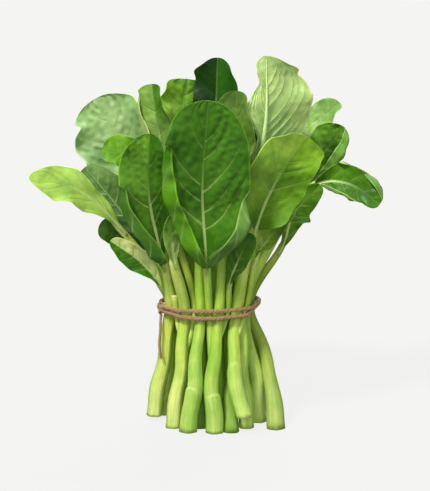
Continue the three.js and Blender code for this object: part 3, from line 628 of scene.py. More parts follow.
def settle():
    """Every stem's settled place at the ground, and every stalk's at the tie, by name."""
    feet = press_apart([one["foot"][:2] for one in STEMS], [one["foot_r"] for one in STEMS])
    tied = [owner for one in STEMS for owner in [one, *(x for x in one["leaves"] if x["fork"] and x["tie"])]]
    held = press_apart([owner["tie"] for owner in tied], [owner["tie_r"] for owner in tied])
    feet = {one["name"]: foot for one, foot in zip(STEMS, feet)}
    return feet, {owner["name"]: place for owner, place in zip(tied, held)}


FEET, HELD = settle()


def leaf_line(one, entry, main):
    """The line of one leaf; main is the line of the stem that a side stalk leaves."""
    fork = entry["fork"]
    held = HELD.get(entry["name"] if fork else one["name"])
    points = [main.at_height(fork) if fork else (*FEET[one["name"]], one["foot"][2])]
    if one["bend"] and not fork:
        points.append(one["bend"])
    tie_index = len(points) if held else 0
    if held:
        points.append((*held, TIE_Z))
    points += [entry[key] for key in ("via", "top") if entry[key]]
    if entry["top"]:
        return Line(points, tie_index, len(points) - 1, entry)
    return Line(points + [entry["base"], entry["mid"], entry["tip"]], tie_index, len(points), entry)


# Meshes


def make_piece(name, points, faces, node, material, attributes):
    """A smooth mesh from points in millimetres, which rides on the bunch and stands for a CAD node."""
    mesh = bpy.data.meshes.new(name)
    low, high = np.array(cad_low), np.array(cad_high)
    mesh.from_pydata(np.clip(points * MM, low, high).tolist(), [], faces)
    for key, values in attributes.items():
        kind, field = ("FLOAT", "value") if values.ndim == 1 else ("FLOAT_VECTOR", "vector")
        mesh.attributes.new(key, kind, "POINT").data.foreach_set(field, values.ravel())
    mesh.polygons.foreach_set("use_smooth", [True] * len(mesh.polygons))
    mesh.materials.append(material)
    piece = put(name, mesh)
    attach(piece, "root")
    if node:
        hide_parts(node)
    return piece


def tube_faces(rings, sides, first, closed):
    """Quads between rings of points; the last ring of a closed tube meets its first."""
    faces = []
    for ring in range(rings if closed else rings - 1):
        here = first + ring * sides
        there = first + (ring + 1) % rings * sides
        for side in range(sides):
            after = (side + 1) % sides
            faces.append((here + side, there + side, there + after, here + after))
    return faces


# Stalks


def rib_radius(leaf, share):
    """Radius of the midrib at a share of the blade's length"""
    return mix(leaf["neck"], RIB_TIP_R, np.clip(share / RIB_LENGTH, 0, 1) ** RIB_TAPER)


def stalk_rings(one, entry, line, ledge, rng):
    """Shares along one stalk, with its radius there, from its cut end or fork to the end of the midrib."""
    start_r = (entry["tie_r"] or entry["neck"]) * FORK_THIN if entry["fork"] else one["foot_r"]
    tie_r = (entry["tie_r"] or start_r) if entry["fork"] else one["tie_r"]
    near = [line.share_at(ledge + off) for off in STEP_ROWS] if ledge else []
    shares = np.sort(np.concatenate([line.base * np.linspace(0, 1, STALK_ROWS), near]))
    radii = np.where(
        shares < line.tie,
        mix(start_r, tie_r, ease(0, line.tie or 1, shares)),
        tie_r if entry["top"] else mix(tie_r, entry["neck"], ease(line.tie, line.base, shares)),
    )
    wobble = sum(np.sin(shares * rate + rng.uniform(0, PHASES)) for rate in WOBBLE_RATES) / len(WOBBLE_RATES)
    thicker = INNER_THICKER * (one["name"] not in STALK_TONES_AND_PAINTED_LIGHT)
    above_tie = ease(line.tie, mix(line.tie, line.base, 0.3), shares)
    radii = radii * (1 + WOBBLE * wobble) * (1 + thicker * above_tie)
    if entry["top"]:
        return shares, radii
    along = np.linspace(0, RIB_END, RIB_ROWS)[1:]
    return (
        np.concatenate([shares, mix(line.base, 1, along)]),
        np.concatenate([radii, rib_radius(entry, along)]),
    )


def stepped(reach, above, angle, rng):
    """The reach of a stalk's skin with the sheath that ends at its step, and how much of a scar each point
    is. above is the height over the step."""
    facing = np.cos(angle - np.pi / 2 - rng.uniform(-STEP_TURN, STEP_TURN))
    side = ease(-0.3, 0.6, facing)
    below = STEP_SLANT * facing - above[:, None]
    sheath = ease(-0.6, 0.9, below) * np.exp(-np.maximum(below, 0) / SHEATH_HEIGHT)
    return reach * (1 + SHEATH_THICK * sheath * side), bell(below, SCAR_WIDE) * side


def close_end(points, faces, values, first, downward, is_cut):
    """The points with the ring that starts at first closed by ever smaller rings down to its middle."""
    rim = slice(first, first + STALK_SIDES)
    edge, middle, starts = points[rim], points[rim].mean(0), [first]
    flat = {key: value[rim] for key, value in values.items()}
    flat["cut"] = np.full((STALK_SIDES, 1), float(is_cut))
    for level in CUT_LEVELS if is_cut else HIDDEN_LEVELS:
        starts.append(len(points))
        size = STALK_SIDES if level else 1
        points = np.vstack([points, mix(middle, edge, level)[:size]])
        for key, value in flat.items():
            scaled = value * (level, level, 1) if key == "tube" else value
            values[key] = np.vstack([values[key], scaled[:size]])
    for outer, inside in zip(starts, starts[1:]):
        for side in range(STALK_SIDES):
            after = (side + 1) % STALK_SIDES
            face = (outer + side, outer + after, inside + after, inside + side)
            if inside == starts[-1]:
                face = (outer + side, outer + after, inside)
            faces.append(face if downward else face[::-1])
    return points


def stalk_tube(one, entry, line, style, seed):
    """One stalk's points, faces and attributes: ridged, grooved on its upper side under the blade, with a
    ledge where the sheath of a lost leaf ended."""
    rng = np.random.default_rng(seed + STALK_SEED)
    ledge = None if entry["fork"] else STALK_STEPS.get(one["name"])
    shares, radii = stalk_rings(one, entry, line, ledge, rng)
    place, upper, across = line.frames(shares)
    for index in (0, -1) if entry["top"] else (0,):
        upper[index, 2] = across[index, 2] = 0
    upper, across = unit(upper), unit(across)
    if not entry["fork"]:
        low = np.clip(place[:, 2] / TIE_Z, 0, 1)
        sway = np.sin(2 * np.pi * SWAY_WAVES * low + rng.uniform(0, PHASES))
        place = place + across * (STALK_SWAY * np.sin(np.pi * low) * sway)[:, None]
    angle = 2 * np.pi * (np.arange(STALK_SIDES) + 0.5) / STALK_SIDES
    ridges = sum(height * np.cos(count * angle + rng.uniform(0, PHASES)) for height, count in RIDGES)
    groove = GROOVE * bell(angle - np.pi / 2, GROOVE_WIDE)
    blade_part = max(1 - line.base, LEAST_BLADE_PART)
    neck = within((line.tie, line.base), (line.base, line.base + blade_part / 2), shares)
    reach = radii[:, None] * (1 + ridges - groove * neck[:, None])
    if not entry["fork"]:
        reach = reach * (1 + rng.uniform(*FOOT_FLARE) * np.exp(-place[:, 2:] / FLARE_HEIGHT))
    scar = np.zeros_like(reach)
    if ledge:
        reach, scar = stepped(reach, place[:, 2] - ledge, angle, rng)
    sideways, outward = reach * np.cos(angle), reach * np.sin(angle)
    points = (
        place[:, None]
        + across[:, None] * sideways[..., None]
        + upper[:, None] * (reach * STALK_FLAT * np.sin(angle))[..., None]
    )
    past = np.where(shares < line.base, shares / line.base, 1 + (shares - line.base) / blade_part)
    # Painted shade: each stalk grows darker and greener towards its sides, as soft front light leaves it
    painted_flank_shade = np.abs(np.cos(angle + rng.uniform(-0.5, 0.5))) ** 3
    # The stalk's tone, partly its own and partly painted light and shade
    tone_and_painted_light = STALK_TONES_AND_PAINTED_LIGHT.get(one["name"], INNER_PAINTED_SHADE if "inner" in one["name"] else BACK_SHADE)
    tone_and_painted_light += np.random.default_rng(seed + SHADE_SEED).uniform(-SHADE_SPREAD, SHADE_SPREAD)
    lower_side = ease(0.3, -0.3, np.sin(angle))[:, None]
    tint = mix(np.array(style["halves"][0]), np.array(style["under"]) * 1.1, lower_side)
    values = {
        "tube": np.stack(np.broadcast_arrays(sideways, outward, walked(place)[:, None]), -1),
        "tint": np.broadcast_to(tint, (*reach.shape, 3)),
        "zone": np.broadcast_to(past[:, None], reach.shape),
        "scar": scar,
        "cut": np.zeros_like(reach),
        "tone_and_painted_light": np.full_like(reach, tone_and_painted_light),
        "painted_flank_shade": np.broadcast_to(painted_flank_shade, reach.shape),
    }
    values = {key: value.reshape(reach.size, -1) for key, value in values.items()}
    points = points.reshape(-1, 3)
    faces = tube_faces(len(shares), STALK_SIDES, 0, False)
    points = close_end(points, faces, values, 0, True, not entry["fork"])
    last = (len(shares) - 1) * STALK_SIDES
    points = close_end(points, faces, values, last, False, bool(entry["top"]))
    return points, faces, {key: value.squeeze() for key, value in values.items()}


# Blades


def half_width(entry, share):
    """Half width of a blade at a share of its length: a tapering foot, widest at the belly, a round tip"""
    foot = rib_radius(entry, share) * FOOT_WIDE
    past = np.clip((share - entry["belly"]) / (1 - entry["belly"]), 0, 1)
    round_off = np.maximum(1 - past ** entry["tip_bend"], 0) ** (1 / entry["tip_bend"])
    tapered = np.sin(np.pi / 2 * np.clip(share / entry["belly"], 0, 1)) ** entry["taper"]
    return foot + (entry["width"] / 2 - foot) * round_off * tapered


def section_angle(entry, folded, hand, share, out):
    """How far one half of a blade's cross-section has turned up at a share of its width. folded is the share
    of its width where its margin folds over, and by how many degrees."""
    at, turn = folded
    angle = entry["fold"] * (1 - ease(0, 0.45, share)) + entry["cup"][hand] * out
    if not np.any(turn):
        rolled = within((0, 0.2), (0.6, 0.9), share)
        angle = angle + entry["roll"][hand] * rolled * ease(0.55, 1, out)
    return np.radians(np.minimum(angle + turn * ease(at - FOLD_REACH, at + FOLD_REACH, out), FOLD_MOST))


def bumps(x, y, wavelength, rng):
    """A smooth random surface, about 1 high: waves of one length that cross in many directions"""
    total = 0
    for turn in np.pi * (np.arange(WAVE_COUNT) + rng.uniform(0, 1, WAVE_COUNT)) / WAVE_COUNT:
        rate = 2 * np.pi / wavelength * rng.uniform(*WAVE_SPREAD)
        total = total + np.cos(rate * (x * np.cos(turn) + y * np.sin(turn)) + rng.uniform(0, PHASES))
    return total / WAVE_SUM


def half_outline(entry, style, hand, inside, width, ripples):
    """The full width of one half with its folded margin, where and how far the margin folds, as
    section_angle wants them, and the colour that the margin shows."""
    edge = 1
    for (height, rate), ripple in zip(EDGE_RIPPLES, ripples):
        edge = edge + height * np.sin(rate * inside + ripple)
    for lobe_hand, at, reach, grow in style["lobes"]:
        if lobe_hand == hand:
            edge = edge + grow * bell(inside - at, reach)
    tip_share = (entry["tip_share"] or entry["share"])[hand]
    lopsided = mix(entry["share"][hand], tip_share, ease(*LOPSIDED_RUN, inside))
    full = np.maximum(width * lopsided * edge, LEAST_HALF)
    over, turn, strip = np.zeros_like(full), np.zeros_like(full), style["under"]
    for one in style["turns"]:
        if one["hand"] == hand:
            low, high = one["low"], one["high"]
            there = within((low, low + FOLD_RUN), (high - FOLD_RUN, high), inside)
            over = mix(one["start"], one["end"], (inside - low) / (high - low)) * there
            turn, strip = one["angle"] * there, one["tint"] or strip
    return full * (1 + over), ((1 / (1 + over))[:, None], turn[:, None]), strip


def summed(steps):
    return np.concatenate([np.zeros((len(steps), 1)), np.cumsum(steps, 1)], 1)


def blade_half(entry, line, style, hand, share, out, length, rng):
    """Rows of points from the midrib to the edge of one half, with what the skins and the material need."""
    side = 2 * hand - 1
    place, upper, across = line.frames(mix(line.base, 1, share))
    inside = np.clip(share, 0, 1)
    width = half_width(entry, inside) * (1 - HEEL_NARROWING * np.clip(-share / HEEL, 0, 1))
    rib = rib_radius(entry, inside)[:, None]
    *ripples, vein_start, vein_shift, _ = rng.uniform(0, PHASES, 5)
    full, folded, strip = half_outline(entry, style, hand, inside, width, ripples)

    # The cross-section of every row
    angle = section_angle(entry, folded, hand, inside[:, None], ((out[1:] + out[:-1]) / 2)[None])
    step = full[:, None] * np.diff(out)[None]
    sideways, upward = summed(np.cos(angle) * step), summed(np.sin(angle) * step)
    angle = section_angle(entry, folded, hand, inside[:, None], out[None])
    angle[:, 0] = 0
    normal = upper[:, None] * np.cos(angle)[..., None] - side * across[:, None] * np.sin(angle)[..., None]

    # The side veins: w counts them, and away is the distance to the nearest one
    v, s = np.broadcast_arrays(out[None], inside[:, None])
    x, y = s * length, v * full[:, None]
    size = (width / (entry["width"] / 2))[:, None]
    tip = ease(*TIP_ZONE, s)
    slant = style["slant"] * entry["width"] / 2 / length
    spacing = length / style["veins"] * math.cos(math.atan(style["slant"]))
    w = style["veins"] * (s - slant * v**VEIN_CURVE) + 0.5 * hand + vein_start / PHASES
    w = w + VEIN_UNEVEN * np.sin(VEIN_UNEVEN_RATE * w + vein_shift)
    between = w - np.floor(w)
    away = (0.5 - np.abs(between - 0.5)) * spacing

    # The relief: the edge's waves, bulges and wrinkles between the veins, and broad swells
    wave = entry["wave"] * size * v**2 * np.sin(2 * np.pi * (entry["waves"] * s) + side)
    ruffle = style["ruffle"] * size * v**4 * bumps(x, 0 * y, RUFFLE_LENGTH, rng)
    dome = mix((1 - (2 * between - 1) ** 2) ** 0.7, 0.8, tip)
    lumpy = 0.75 + 0.45 * bumps(x, y, LUMP_LENGTH, rng)
    drawn = bumps(w * spacing, 0.45 * y, DRAWN_LENGTH, rng)
    wrinkles = (0.6 * drawn + 0.4 * bumps(x, y, WRINKLE_LENGTH, rng)) * (0.3 + 0.7 * dome)
    relief = style["quilt"] * QUILT * dome * lumpy + style["pucker"] * wrinkles
    calm = ease(0.02, 0.14, v) * (1 - 0.8 * ease(0.8, 1, v)) * size**0.5
    calm = calm * (1 - ease(folded[0] - 0.1, folded[0], v) * (folded[1] > 0))
    height = (wave + ruffle + relief * calm) * ease(0, 0.12, s)
    height = height + SWELL * bumps(x, y, SWELL_LENGTH, rng) * size * v * ease(0, 0.2, s)
    sunk = rib * STALK_FLAT * mix(RIB_SUNK, RIB_TIP_SUNK, ease(0.3, 0.8, s))
    fillet = FILLET * rib * bell(y, FILLET_WIDE * rib)

    foot, half = (np.array(style[key][hand]) for key in ("foot", "halves"))
    beyond = ease(folded[0] - 0.02, folded[0] + 0.02, v) * (folded[1] > 0)
    plain = style["vein"] * (1 - 0.7 * ease(0.35, 0.85, s)) * (1 - tip)
    return {
        "point": place[:, None] + side * across[:, None] * sideways[..., None]
        + upper[:, None] * (upward + sunk)[..., None] + normal * (height + fillet)[..., None],
        "normal": normal,
        "thick": mix(BLADE_THICK, EDGE_THICK, ease(0.3, 1, v)),
        "ridge": VEIN_RIDGE * bell(away, VEIN_WIDE) * (1 - 0.7 * v) * ease(0.02, 0.1, s) * (1 - tip),
        "tint": mix(foot, half, ease(0, 0.8, s)[..., None]),
        "lower": mix(np.array(style["under"]), np.array(strip), beyond[..., None]),
        "fades": 1 - RIB_FADED * ease(0.15, 0.7, s),
        "relief": relief * calm,
        "veins": np.stack([w, np.full_like(w, spacing), v], -1),
        "spot": np.stack(np.broadcast_arrays(plain, y, rib), -1),
    }


def blade(entry, line, style, seed):
    """A blade's points, faces and attributes: two skins with veins and bulges, joined at the edge."""
    rng = np.random.default_rng(seed)
    length = gaps(line.at(mix(line.base, 1, np.linspace(0, 1, 40)))).sum()
    rows = min(round(length / BLADE_STEP), BLADE_MOST_ROWS)
    columns = min(round(entry["width"] / 2 / BLADE_STEP) + SPARE_COLUMNS, BLADE_MOST_COLUMNS)
    share = 1 - (1 - np.linspace(0, 1, rows)) ** ROW_CROWDING
    share = np.concatenate([np.linspace(-HEEL, 0, HEEL_ROWS)[:-1], share])
    out = np.linspace(0, 1, columns + 1) ** COLUMN_CROWDING
    left, right = (blade_half(entry, line, style, hand, share, out, length, rng) for hand in (0, 1))
    both = {key: np.concatenate([left[key][:, :0:-1], right[key]], 1) for key in left}
    top = both["point"] + both["normal"] * both["thick"][..., None] / 2
    bottom = both["point"] - both["normal"] * (both["thick"] / 2 + both["ridge"])[..., None]
    points = np.concatenate([top.reshape(-1, 3), bottom.reshape(-1, 3)])

    rows, count = both["thick"].shape
    under = rows * count
    faces = []
    for row in range(rows - 1):
        for a in range(row * count, row * count + count - 1):
            b, c, d = a + 1, a + 1 + count, a + count
            faces.append((a, b, c, d))
            faces.append((a + under, d + under, c + under, b + under))
    grid = np.arange(under).reshape(rows, count)
    rim = np.concatenate([grid[0, :-1], grid[:-1, -1], grid[-1, :0:-1], grid[:0:-1, 0]]).tolist()
    for a, b in zip(rim, rim[1:] + rim[:1]):
        faces.append((a, a + under, b + under, b))
    attributes = {key: np.tile(both[key].reshape(-1, 3), (2, 1)) for key in ("veins", "spot")}
    attributes |= {key: np.tile(both[key].ravel(), 2) for key in ("fades", "relief")}
    attributes["tint"] = np.concatenate([both[key].reshape(-1, 3) for key in ("tint", "lower")])
    attributes["under"] = np.repeat([0.0, 1.0], under)
    return points, faces, attributes


# Twine


def transported(path, closed):
    """Two directions across a path, carried along it without turning; a closed path ends as it starts."""
    ahead = np.roll(path, -1, 0) - path
    if not closed:
        ahead[-1] = ahead[-2]
    along = unit(ahead + np.roll(ahead, 1, 0)) if closed else unit(ahead)
    sides = [unit(np.cross(along[0], (0.3, 0.2, 1.0)))]
    for direction in along[1:]:
        sides.append(unit(sides[-1] - direction * np.dot(sides[-1], direction)))
    sides = np.array(sides)
    others = np.cross(sides, along)
    if closed:
        end = sides[-1] - along[0] * np.dot(sides[-1], along[0])
        gap = math.atan2(np.dot(end, others[0]), np.dot(end, sides[0]))
        turn = -gap * np.arange(len(path))[:, None] / len(path)
        cos, sin = np.cos(turn), np.sin(turn)
        sides, others = sides * cos + others * sin, others * cos - sides * sin
    return sides, others


def twisted(path, radius, closed, pitch):
    """Twisted plies along a path: their points, faces and place in each ply."""
    side, other = transported(path, closed)
    walk = walked(path)
    whole = walk[-1] + (np.linalg.norm(path[0] - path[-1]) if closed else 0)
    twist = 2 * np.pi * max(round(whole / pitch), 1) * walk / whole
    sides, count = PLY_SIDES, len(path)
    angle = 2 * np.pi * np.arange(sides) / sides
    ring = side[:, None] * np.cos(angle)[None, :, None] + other[:, None] * np.sin(angle)[None, :, None]
    points, faces, tubes = [], [], []
    for ply in range(PLIES):
        phase = (twist + 2 * np.pi * ply / PLIES)[:, None]
        middle = path + radius * PLY_OFF * (side * np.cos(phase) + other * np.sin(phase))
        points.append((middle[:, None] + radius * PLY_R * ring).reshape(-1, 3))
        first, last = ply * count * sides, (ply + 1) * count * sides
        faces += tube_faces(count, sides, first, closed)
        if not closed:
            faces.append(tuple(range(first, first + sides)))
            faces.append(tuple(range(last - sides, last))[::-1])
        tube = np.broadcast_arrays(np.cos(angle + ply), np.sin(angle + ply), walk[:, None] + PLY_APART * ply)
        tubes.append(np.stack(tube, -1).reshape(-1, 3))
    return np.concatenate(points), faces, np.concatenate(tubes)


def fibres(path, count, shortest, longest, seed, spread=1.0):
    """Fine hairs that stand off a path: thin curved spikes of three sides."""
    rng = np.random.default_rng(seed)
    points, faces, tubes = [], [], []
    for _ in range(count):
        index = rng.integers(1, len(path) - 1)
        along = unit(path[index + 1] - path[index - 1])
        out = unit(np.cross(along, rng.normal(size=3)))
        length = rng.uniform(shortest, longest)
        lean = rng.uniform(-1, 1)
        bend = rng.normal(size=3) * FIBRE_BEND
        start = len(points)
        for share in np.arange(FIBRE_STEPS) / (FIBRE_STEPS - 1):
            reach = length * share
            off = TAIL_R * FIBRE_ROOT + reach * FIBRE_RISE * spread
            middle = path[index] + out * off + along * reach * lean + bend * reach * share
            wide = FIBRE_THICK * (1 - FIBRE_TAPER * share)
            for angle in 2 * np.pi * np.arange(3) / 3:
                cos, sin = math.cos(angle), math.sin(angle)
                points.append(middle + wide * (along * cos + np.cross(along, out) * sin))
                tubes.append((cos, sin, reach))
        faces += tube_faces(FIBRE_STEPS, 3, start, False)
        last = len(points)
        faces += [(start, start + 1, start + 2), (last - 1, last - 2, last - 3)]
    return np.array(points), faces, np.array(tubes)


def joined(*parts):
    """Several lots of points, faces and values as one."""
    faces, first = [], 0
    for part_points, part_faces, _ in parts:
        faces += [tuple(first + index for index in face) for face in part_faces]
        first += len(part_points)
    return np.concatenate([part[0] for part in parts]), faces, np.concatenate([part[2] for part in parts])


def evenly(path, gap, closed):
    """The same path with points a gap apart."""
    path = np.vstack([path, path[:1]]) if closed else path
    walk = walked(path)
    places = np.linspace(0, walk[-1], max(round(walk[-1] / gap), 8) + 1)
    spaced = np.stack([np.interp(places, walk, path[:, axis]) for axis in range(3)], -1)
    return spaced[:-1] if closed else spaced


def taut_round(stalks, turn_z, back_rise):
    """The twine drawn tight round the stalks: points on the outside of the bundle. back_rise is how much
    higher than turn_z it lies at the back."""
    directions, smoothings = 240, 3
    reach = TWINE_R + TWINE_GAP
    points = []
    for angle in 2 * np.pi * np.arange(directions) / directions:
        out = np.array([math.cos(angle), math.sin(angle), 0])
        height = turn_z + TURN_TILT * out[0] + back_rise * out[1]
        best = None
        for low, high, radius in stalks:
            place = mix(low, high, (height - low[2]) / (high[2] - low[2]))
            reached = place @ out + radius
            if best is None or reached > best[0]:
                best = (reached, place + out * (radius + reach))
        points.append((best[1][0], best[1][1], height))
    path = evenly(np.array(points), POINT_GAP, True)
    for _ in range(smoothings):
        path = (path + np.roll(path, 1, 0) + np.roll(path, -1, 0)) / 3
    return path


def knot_path():
    """A three-lobed overhand knot, pressed flat against the bundle"""
    steps = 120
    angle = 2 * np.pi * np.arange(steps)[:, None] / steps
    reached = KNOT_SIZE * (2 + np.cos(3 * angle))
    points = np.array(KNOT_PLACE) + np.array(KNOT_SIDEWAYS) * reached * np.cos(2 * angle)
    points = points + np.array(KNOT_OUTWARD) * KNOT_SIZE * np.sin(3 * angle)
    points[:, 2:] += reached * np.sin(2 * angle)
    return points


# Materials


class Value:
    """What a node gives. Sums, differences and products with it are nodes too."""

    def __init__(self, graph, socket):
        self.graph = graph
        self.socket = socket

    def __add__(self, other):
        return self.graph.math("ADD", self, other)

    def __sub__(self, other):
        return self.graph.math("SUBTRACT", self, other)

    def __rsub__(self, other):
        return self.graph.math("SUBTRACT", other, self)

    def __mul__(self, other):
        return self.graph.math("MULTIPLY", self, other)


class Graph:
    """Short ways to add and link the nodes of a material or a world. An input is a number, a colour or a
    Value."""

    def __init__(self, owner):
        owner.use_nodes = True
        self.owner = owner
        self.tree = owner.node_tree

    def set(self, socket, value):
        if isinstance(value, Value):
            self.tree.links.new(value.socket, socket)
        elif isinstance(value, tuple) and len(value) == 3 and socket.type == "RGBA":
            socket.default_value = (*value, 1)
        else:
            socket.default_value = value

    def node(self, kind, inputs=None, output=0, **settings):
        node = self.tree.nodes.new("ShaderNode" + kind)
        for key, value in settings.items():
            setattr(node, key, value)
        for key, value in (inputs or {}).items():
            self.set(node.inputs[key], value)
        return Value(self, node.outputs[output])

    def math(self, operation, a, b=0.0):
        return self.node("Math", {0: a, 1: b}, operation=operation)

    def attribute(self, name, output="Fac"):
        return self.node("Attribute", output=output, attribute_name=name)

    def where(self, output="Object"):
        return self.node("TexCoord", output=output)

    def split(self, vector):
        node = self.tree.nodes.new("ShaderNodeSeparateXYZ")
        self.set(node.inputs[0], vector)
        return [Value(self, part) for part in node.outputs]

    def rise(self, value, low, high, most=1.0):
        """0 below low and most above high, straight between"""
        return self.node("MapRange", {"Value": value, "From Min": low, "From Max": high, "To Max": most})

    def fade(self, value, low, high, start=1.0, end=0.0):
        """start below low and end above high, softly between"""
        return self.node(
            "MapRange", {"Value": value, "From Min": low, "From Max": high, "To Min": start, "To Max": end},
            interpolation_type="SMOOTHSTEP",
        )

    def mix(self, factor, a, b, blend_type="MIX"):
        return self.node("Mix", {0: factor, 6: a, 7: b}, 2, data_type="RGBA", blend_type=blend_type)

    def tinted(self, colour, factors, share=1.0):
        """A colour with its red, green and blue multiplied by factors."""
        return self.mix(share, colour, factors, "MULTIPLY")

    def mix_value(self, factor, a, b):
        return self.node("Mix", {0: factor, 2: a, 3: b})

    def noise(self, scale, vector, detail=3.0, roughness=0.5):
        look = {"Scale": scale, "Vector": vector, "Detail": detail, "Roughness": roughness}
        return self.node("TexNoise", look)

    def cells(self, scale, vector):
        edges = {"Scale": scale, "Vector": vector}
        return self.node("TexVoronoi", edges, feature="DISTANCE_TO_EDGE")

    def finish(self, colour, roughness, height, distance, **direct):
        inputs = self.tree.nodes["Principled BSDF"].inputs
        self.set(inputs["Base Color"], colour)
        self.set(inputs["Roughness"], roughness)
        bump = self.node("Bump", {"Height": height, "Distance": distance, "Strength": 1.0})
        self.set(inputs["Normal"], bump)
        for key, value in direct.items():
            inputs[key.replace("_", " ")].default_value = value
        return self.owner


def leaf_material():
    g = Graph(bpy.data.materials.new("leaf"))
    w, spacing, v = g.split(g.attribute("veins", "Vector"))
    plain, from_rib, rib_r = g.split(g.attribute("spot", "Vector"))
    under = g.attribute("under")
    tint = g.attribute("tint", "Color")
    where = g.where()

    # Side veins with a pale halo, the midrib, and the net of fine veins with its pores
    shaken = w + (g.noise(90.0, where) - 0.5) * 0.12
    away = (0.5 - g.math("ABSOLUTE", g.math("FRACT", shaken) - 0.5)) * spacing
    thin = g.mix_value(v, 0.26, 0.04)
    vein = g.fade(away, thin, thin + g.mix_value(v, 0.4, 0.2)) * (1.0 - v * 0.75)
    halo = g.fade(away, 0.2, 2.2)
    rib = g.fade(from_rib, rib_r * 0.55, rib_r * 0.8 + 0.3)
    swirl = g.node("TexNoise", {"Scale": 260.0, "Vector": where, "Detail": 2.0}, output=1)
    swirl_reach = (0.0035, 0.0035, 0.0035)
    warped = g.node("VectorMath", {0: swirl, 1: swirl_reach, 2: where}, operation="MULTIPLY_ADD")
    net = g.fade(g.cells(420.0, warped), 0.0, 0.16)
    pores = g.fade(g.cells(1000.0, warped), 0.0, 0.25)
    middle = g.noise(190.0, where, 4.0)
    fine = g.noise(1500.0, where, 3.0)

    # Light and dark patches, painted shade in the hollows between the bulges, then the veins and the pale
    # edge
    darker, lighter = g.tinted(tint, PATCH_DARKER), g.tinted(tint, PATCH_LIGHTER)
    colour = g.mix(g.rise(g.noise(38.0, where, 2.0), 0.34, 0.66), darker, lighter)
    colour = g.tinted(colour, MOTTLED, g.fade(middle, 0.3, 0.6) * 0.35)
    # Painted shade: the lower the relief, the darker the leaf
    hollow_shade = g.fade(g.attribute("relief"), -0.5, 0.9)
    colour = g.tinted(colour, PAINTED_HOLLOW_SHADE, hollow_shade * 0.55)
    pale = g.mix(under, VEIN_UPPER, VEIN_LOWER)
    colour = g.mix(halo * plain * 0.14, colour, pale)
    colour = g.mix(net * 0.12, colour, g.tinted(colour, FINE_VEINS))
    colour = g.tinted(colour, PORES, pores * 0.12)
    colour = g.mix(vein * plain, colour, pale)
    colour = g.mix(rib * g.attribute("fades"), colour, VEIN)
    edge = 1.0 - g.fade(v, 0.955, 0.985)
    colour = g.mix(edge * 0.45, colour, g.tinted(tint, PALE_EDGE))

    # Veins are sunk on the upper side and raised on the lower one
    shown = g.math("MINIMUM", plain * 6.0, 1.0)
    height = (vein * shown + net * 0.1) * g.mix_value(under, -0.7, 1.0) + middle * 0.8 + fine * 0.1
    return g.finish(
        colour, g.mix_value(under, 0.28, 0.5) + middle * 0.2, height, LEAF_BUMP, Subsurface_Weight=0.12,
        Subsurface_Radius=(0.9, 1.3, 0.2), Subsurface_Scale=0.001, Specular_IOR_Level=0.16,
    )


def stalk_material():
    g = Graph(bpy.data.materials.new("stalk"))
    zone, tone_and_painted_light = g.attribute("zone"), g.attribute("tone_and_painted_light")
    where = g.where()
    drawn = g.node("Mapping", {"Vector": g.attribute("tube", "Vector"), "Scale": (1.0, 1.0, 0.02)})
    streaks = g.noise(0.9, drawn, 3.0)
    fine = g.noise(3.5, drawn, 2.0)
    blotch = g.noise(45.0, where, 3.0)

    # From the foot through the middle to the neck, then the stalk's tone, partly its own and partly painted
    # light and shade
    colour = g.mix(g.fade(zone, 0.08, 0.5), STALK_MIDDLE, STALK_FOOT)
    colour = g.mix(1.0 - g.fade(zone, 0.55, 1.1), colour, STALK_NECK)
    colour = g.mix(1.0 - g.fade(zone, 1.0, 1.3), colour, VEIN)
    pale_tone_and_painted_light = g.math("ABSOLUTE", tone_and_painted_light)
    colour = g.mix(pale_tone_and_painted_light, g.tinted(colour, GREENER), g.tinted(colour, PALE_STALK))
    # Painted shade: a negative tone dims the stalk
    colour = g.tinted(colour, PAINTED_SHADE_TINT, g.math("LESS_THAN", tone_and_painted_light, 0.0))

    # Pale lines, painted shade that darkens each stalk's flanks to green, blotches and fine streaks,
    # the scars, and the midrib's end on the blade
    greener = g.tinted(colour, GREENER)
    colour = g.mix(g.rise(streaks, 0.42, 0.6, 0.95), colour, g.tinted(colour, PALE_LINES))
    colour = g.mix(g.attribute("painted_flank_shade") * 0.62, colour, greener)
    colour = g.mix(g.fade(blotch, 0.35, 0.6) * 0.5, colour, greener)
    colour = g.mix(g.fade(fine, 0.36, 0.52) * 0.4, colour, greener)
    colour = g.mix(g.attribute("scar") * 0.3, colour, g.mix(fine, SCAR_DARK, SCAR_PALE))
    rib_end = g.tinted(g.attribute("tint", "Color"), RIB_END_TINT)
    colour = g.mix(1.0 - g.fade(zone, 1.02, 1.5), colour, rib_end)
    pith = g.mix(g.noise(700.0, where), PITH_DARK, PITH_PALE)
    colour = g.mix(g.attribute("cut"), colour, pith)
    return g.finish(
        colour, fine * 0.3 + 0.28, streaks + fine * 0.45, STALK_BUMP, Subsurface_Weight=0.2,
        Subsurface_Radius=(1.6, 2.2, 0.5), Subsurface_Scale=0.001, Specular_IOR_Level=0.35,
    )


def twine_material():
    g = Graph(bpy.data.materials.new("twine"))
    along = {"Scale": (1.0, 1.0, 0.16), "Rotation": (0.5, 0.0, 0.0)}
    strands = g.noise(3.4, g.node("Mapping", {"Vector": g.attribute("tube", "Vector"), **along}), 4.0, 0.65)
    patches = g.noise(130.0, g.where(), 2.0)
    colour = g.mix(g.rise(strands, 0.38, 0.62), TWINE_DARK, TWINE_LIGHT)
    colour = g.mix(patches * 0.5, colour, TWINE_PATCH)
    return g.finish(colour, 0.92, strands, TWINE_BUMP, Sheen_Weight=0.25)


LEAF = leaf_material()
STALK = stalk_material()
TWINE = twine_material()

# The bunch

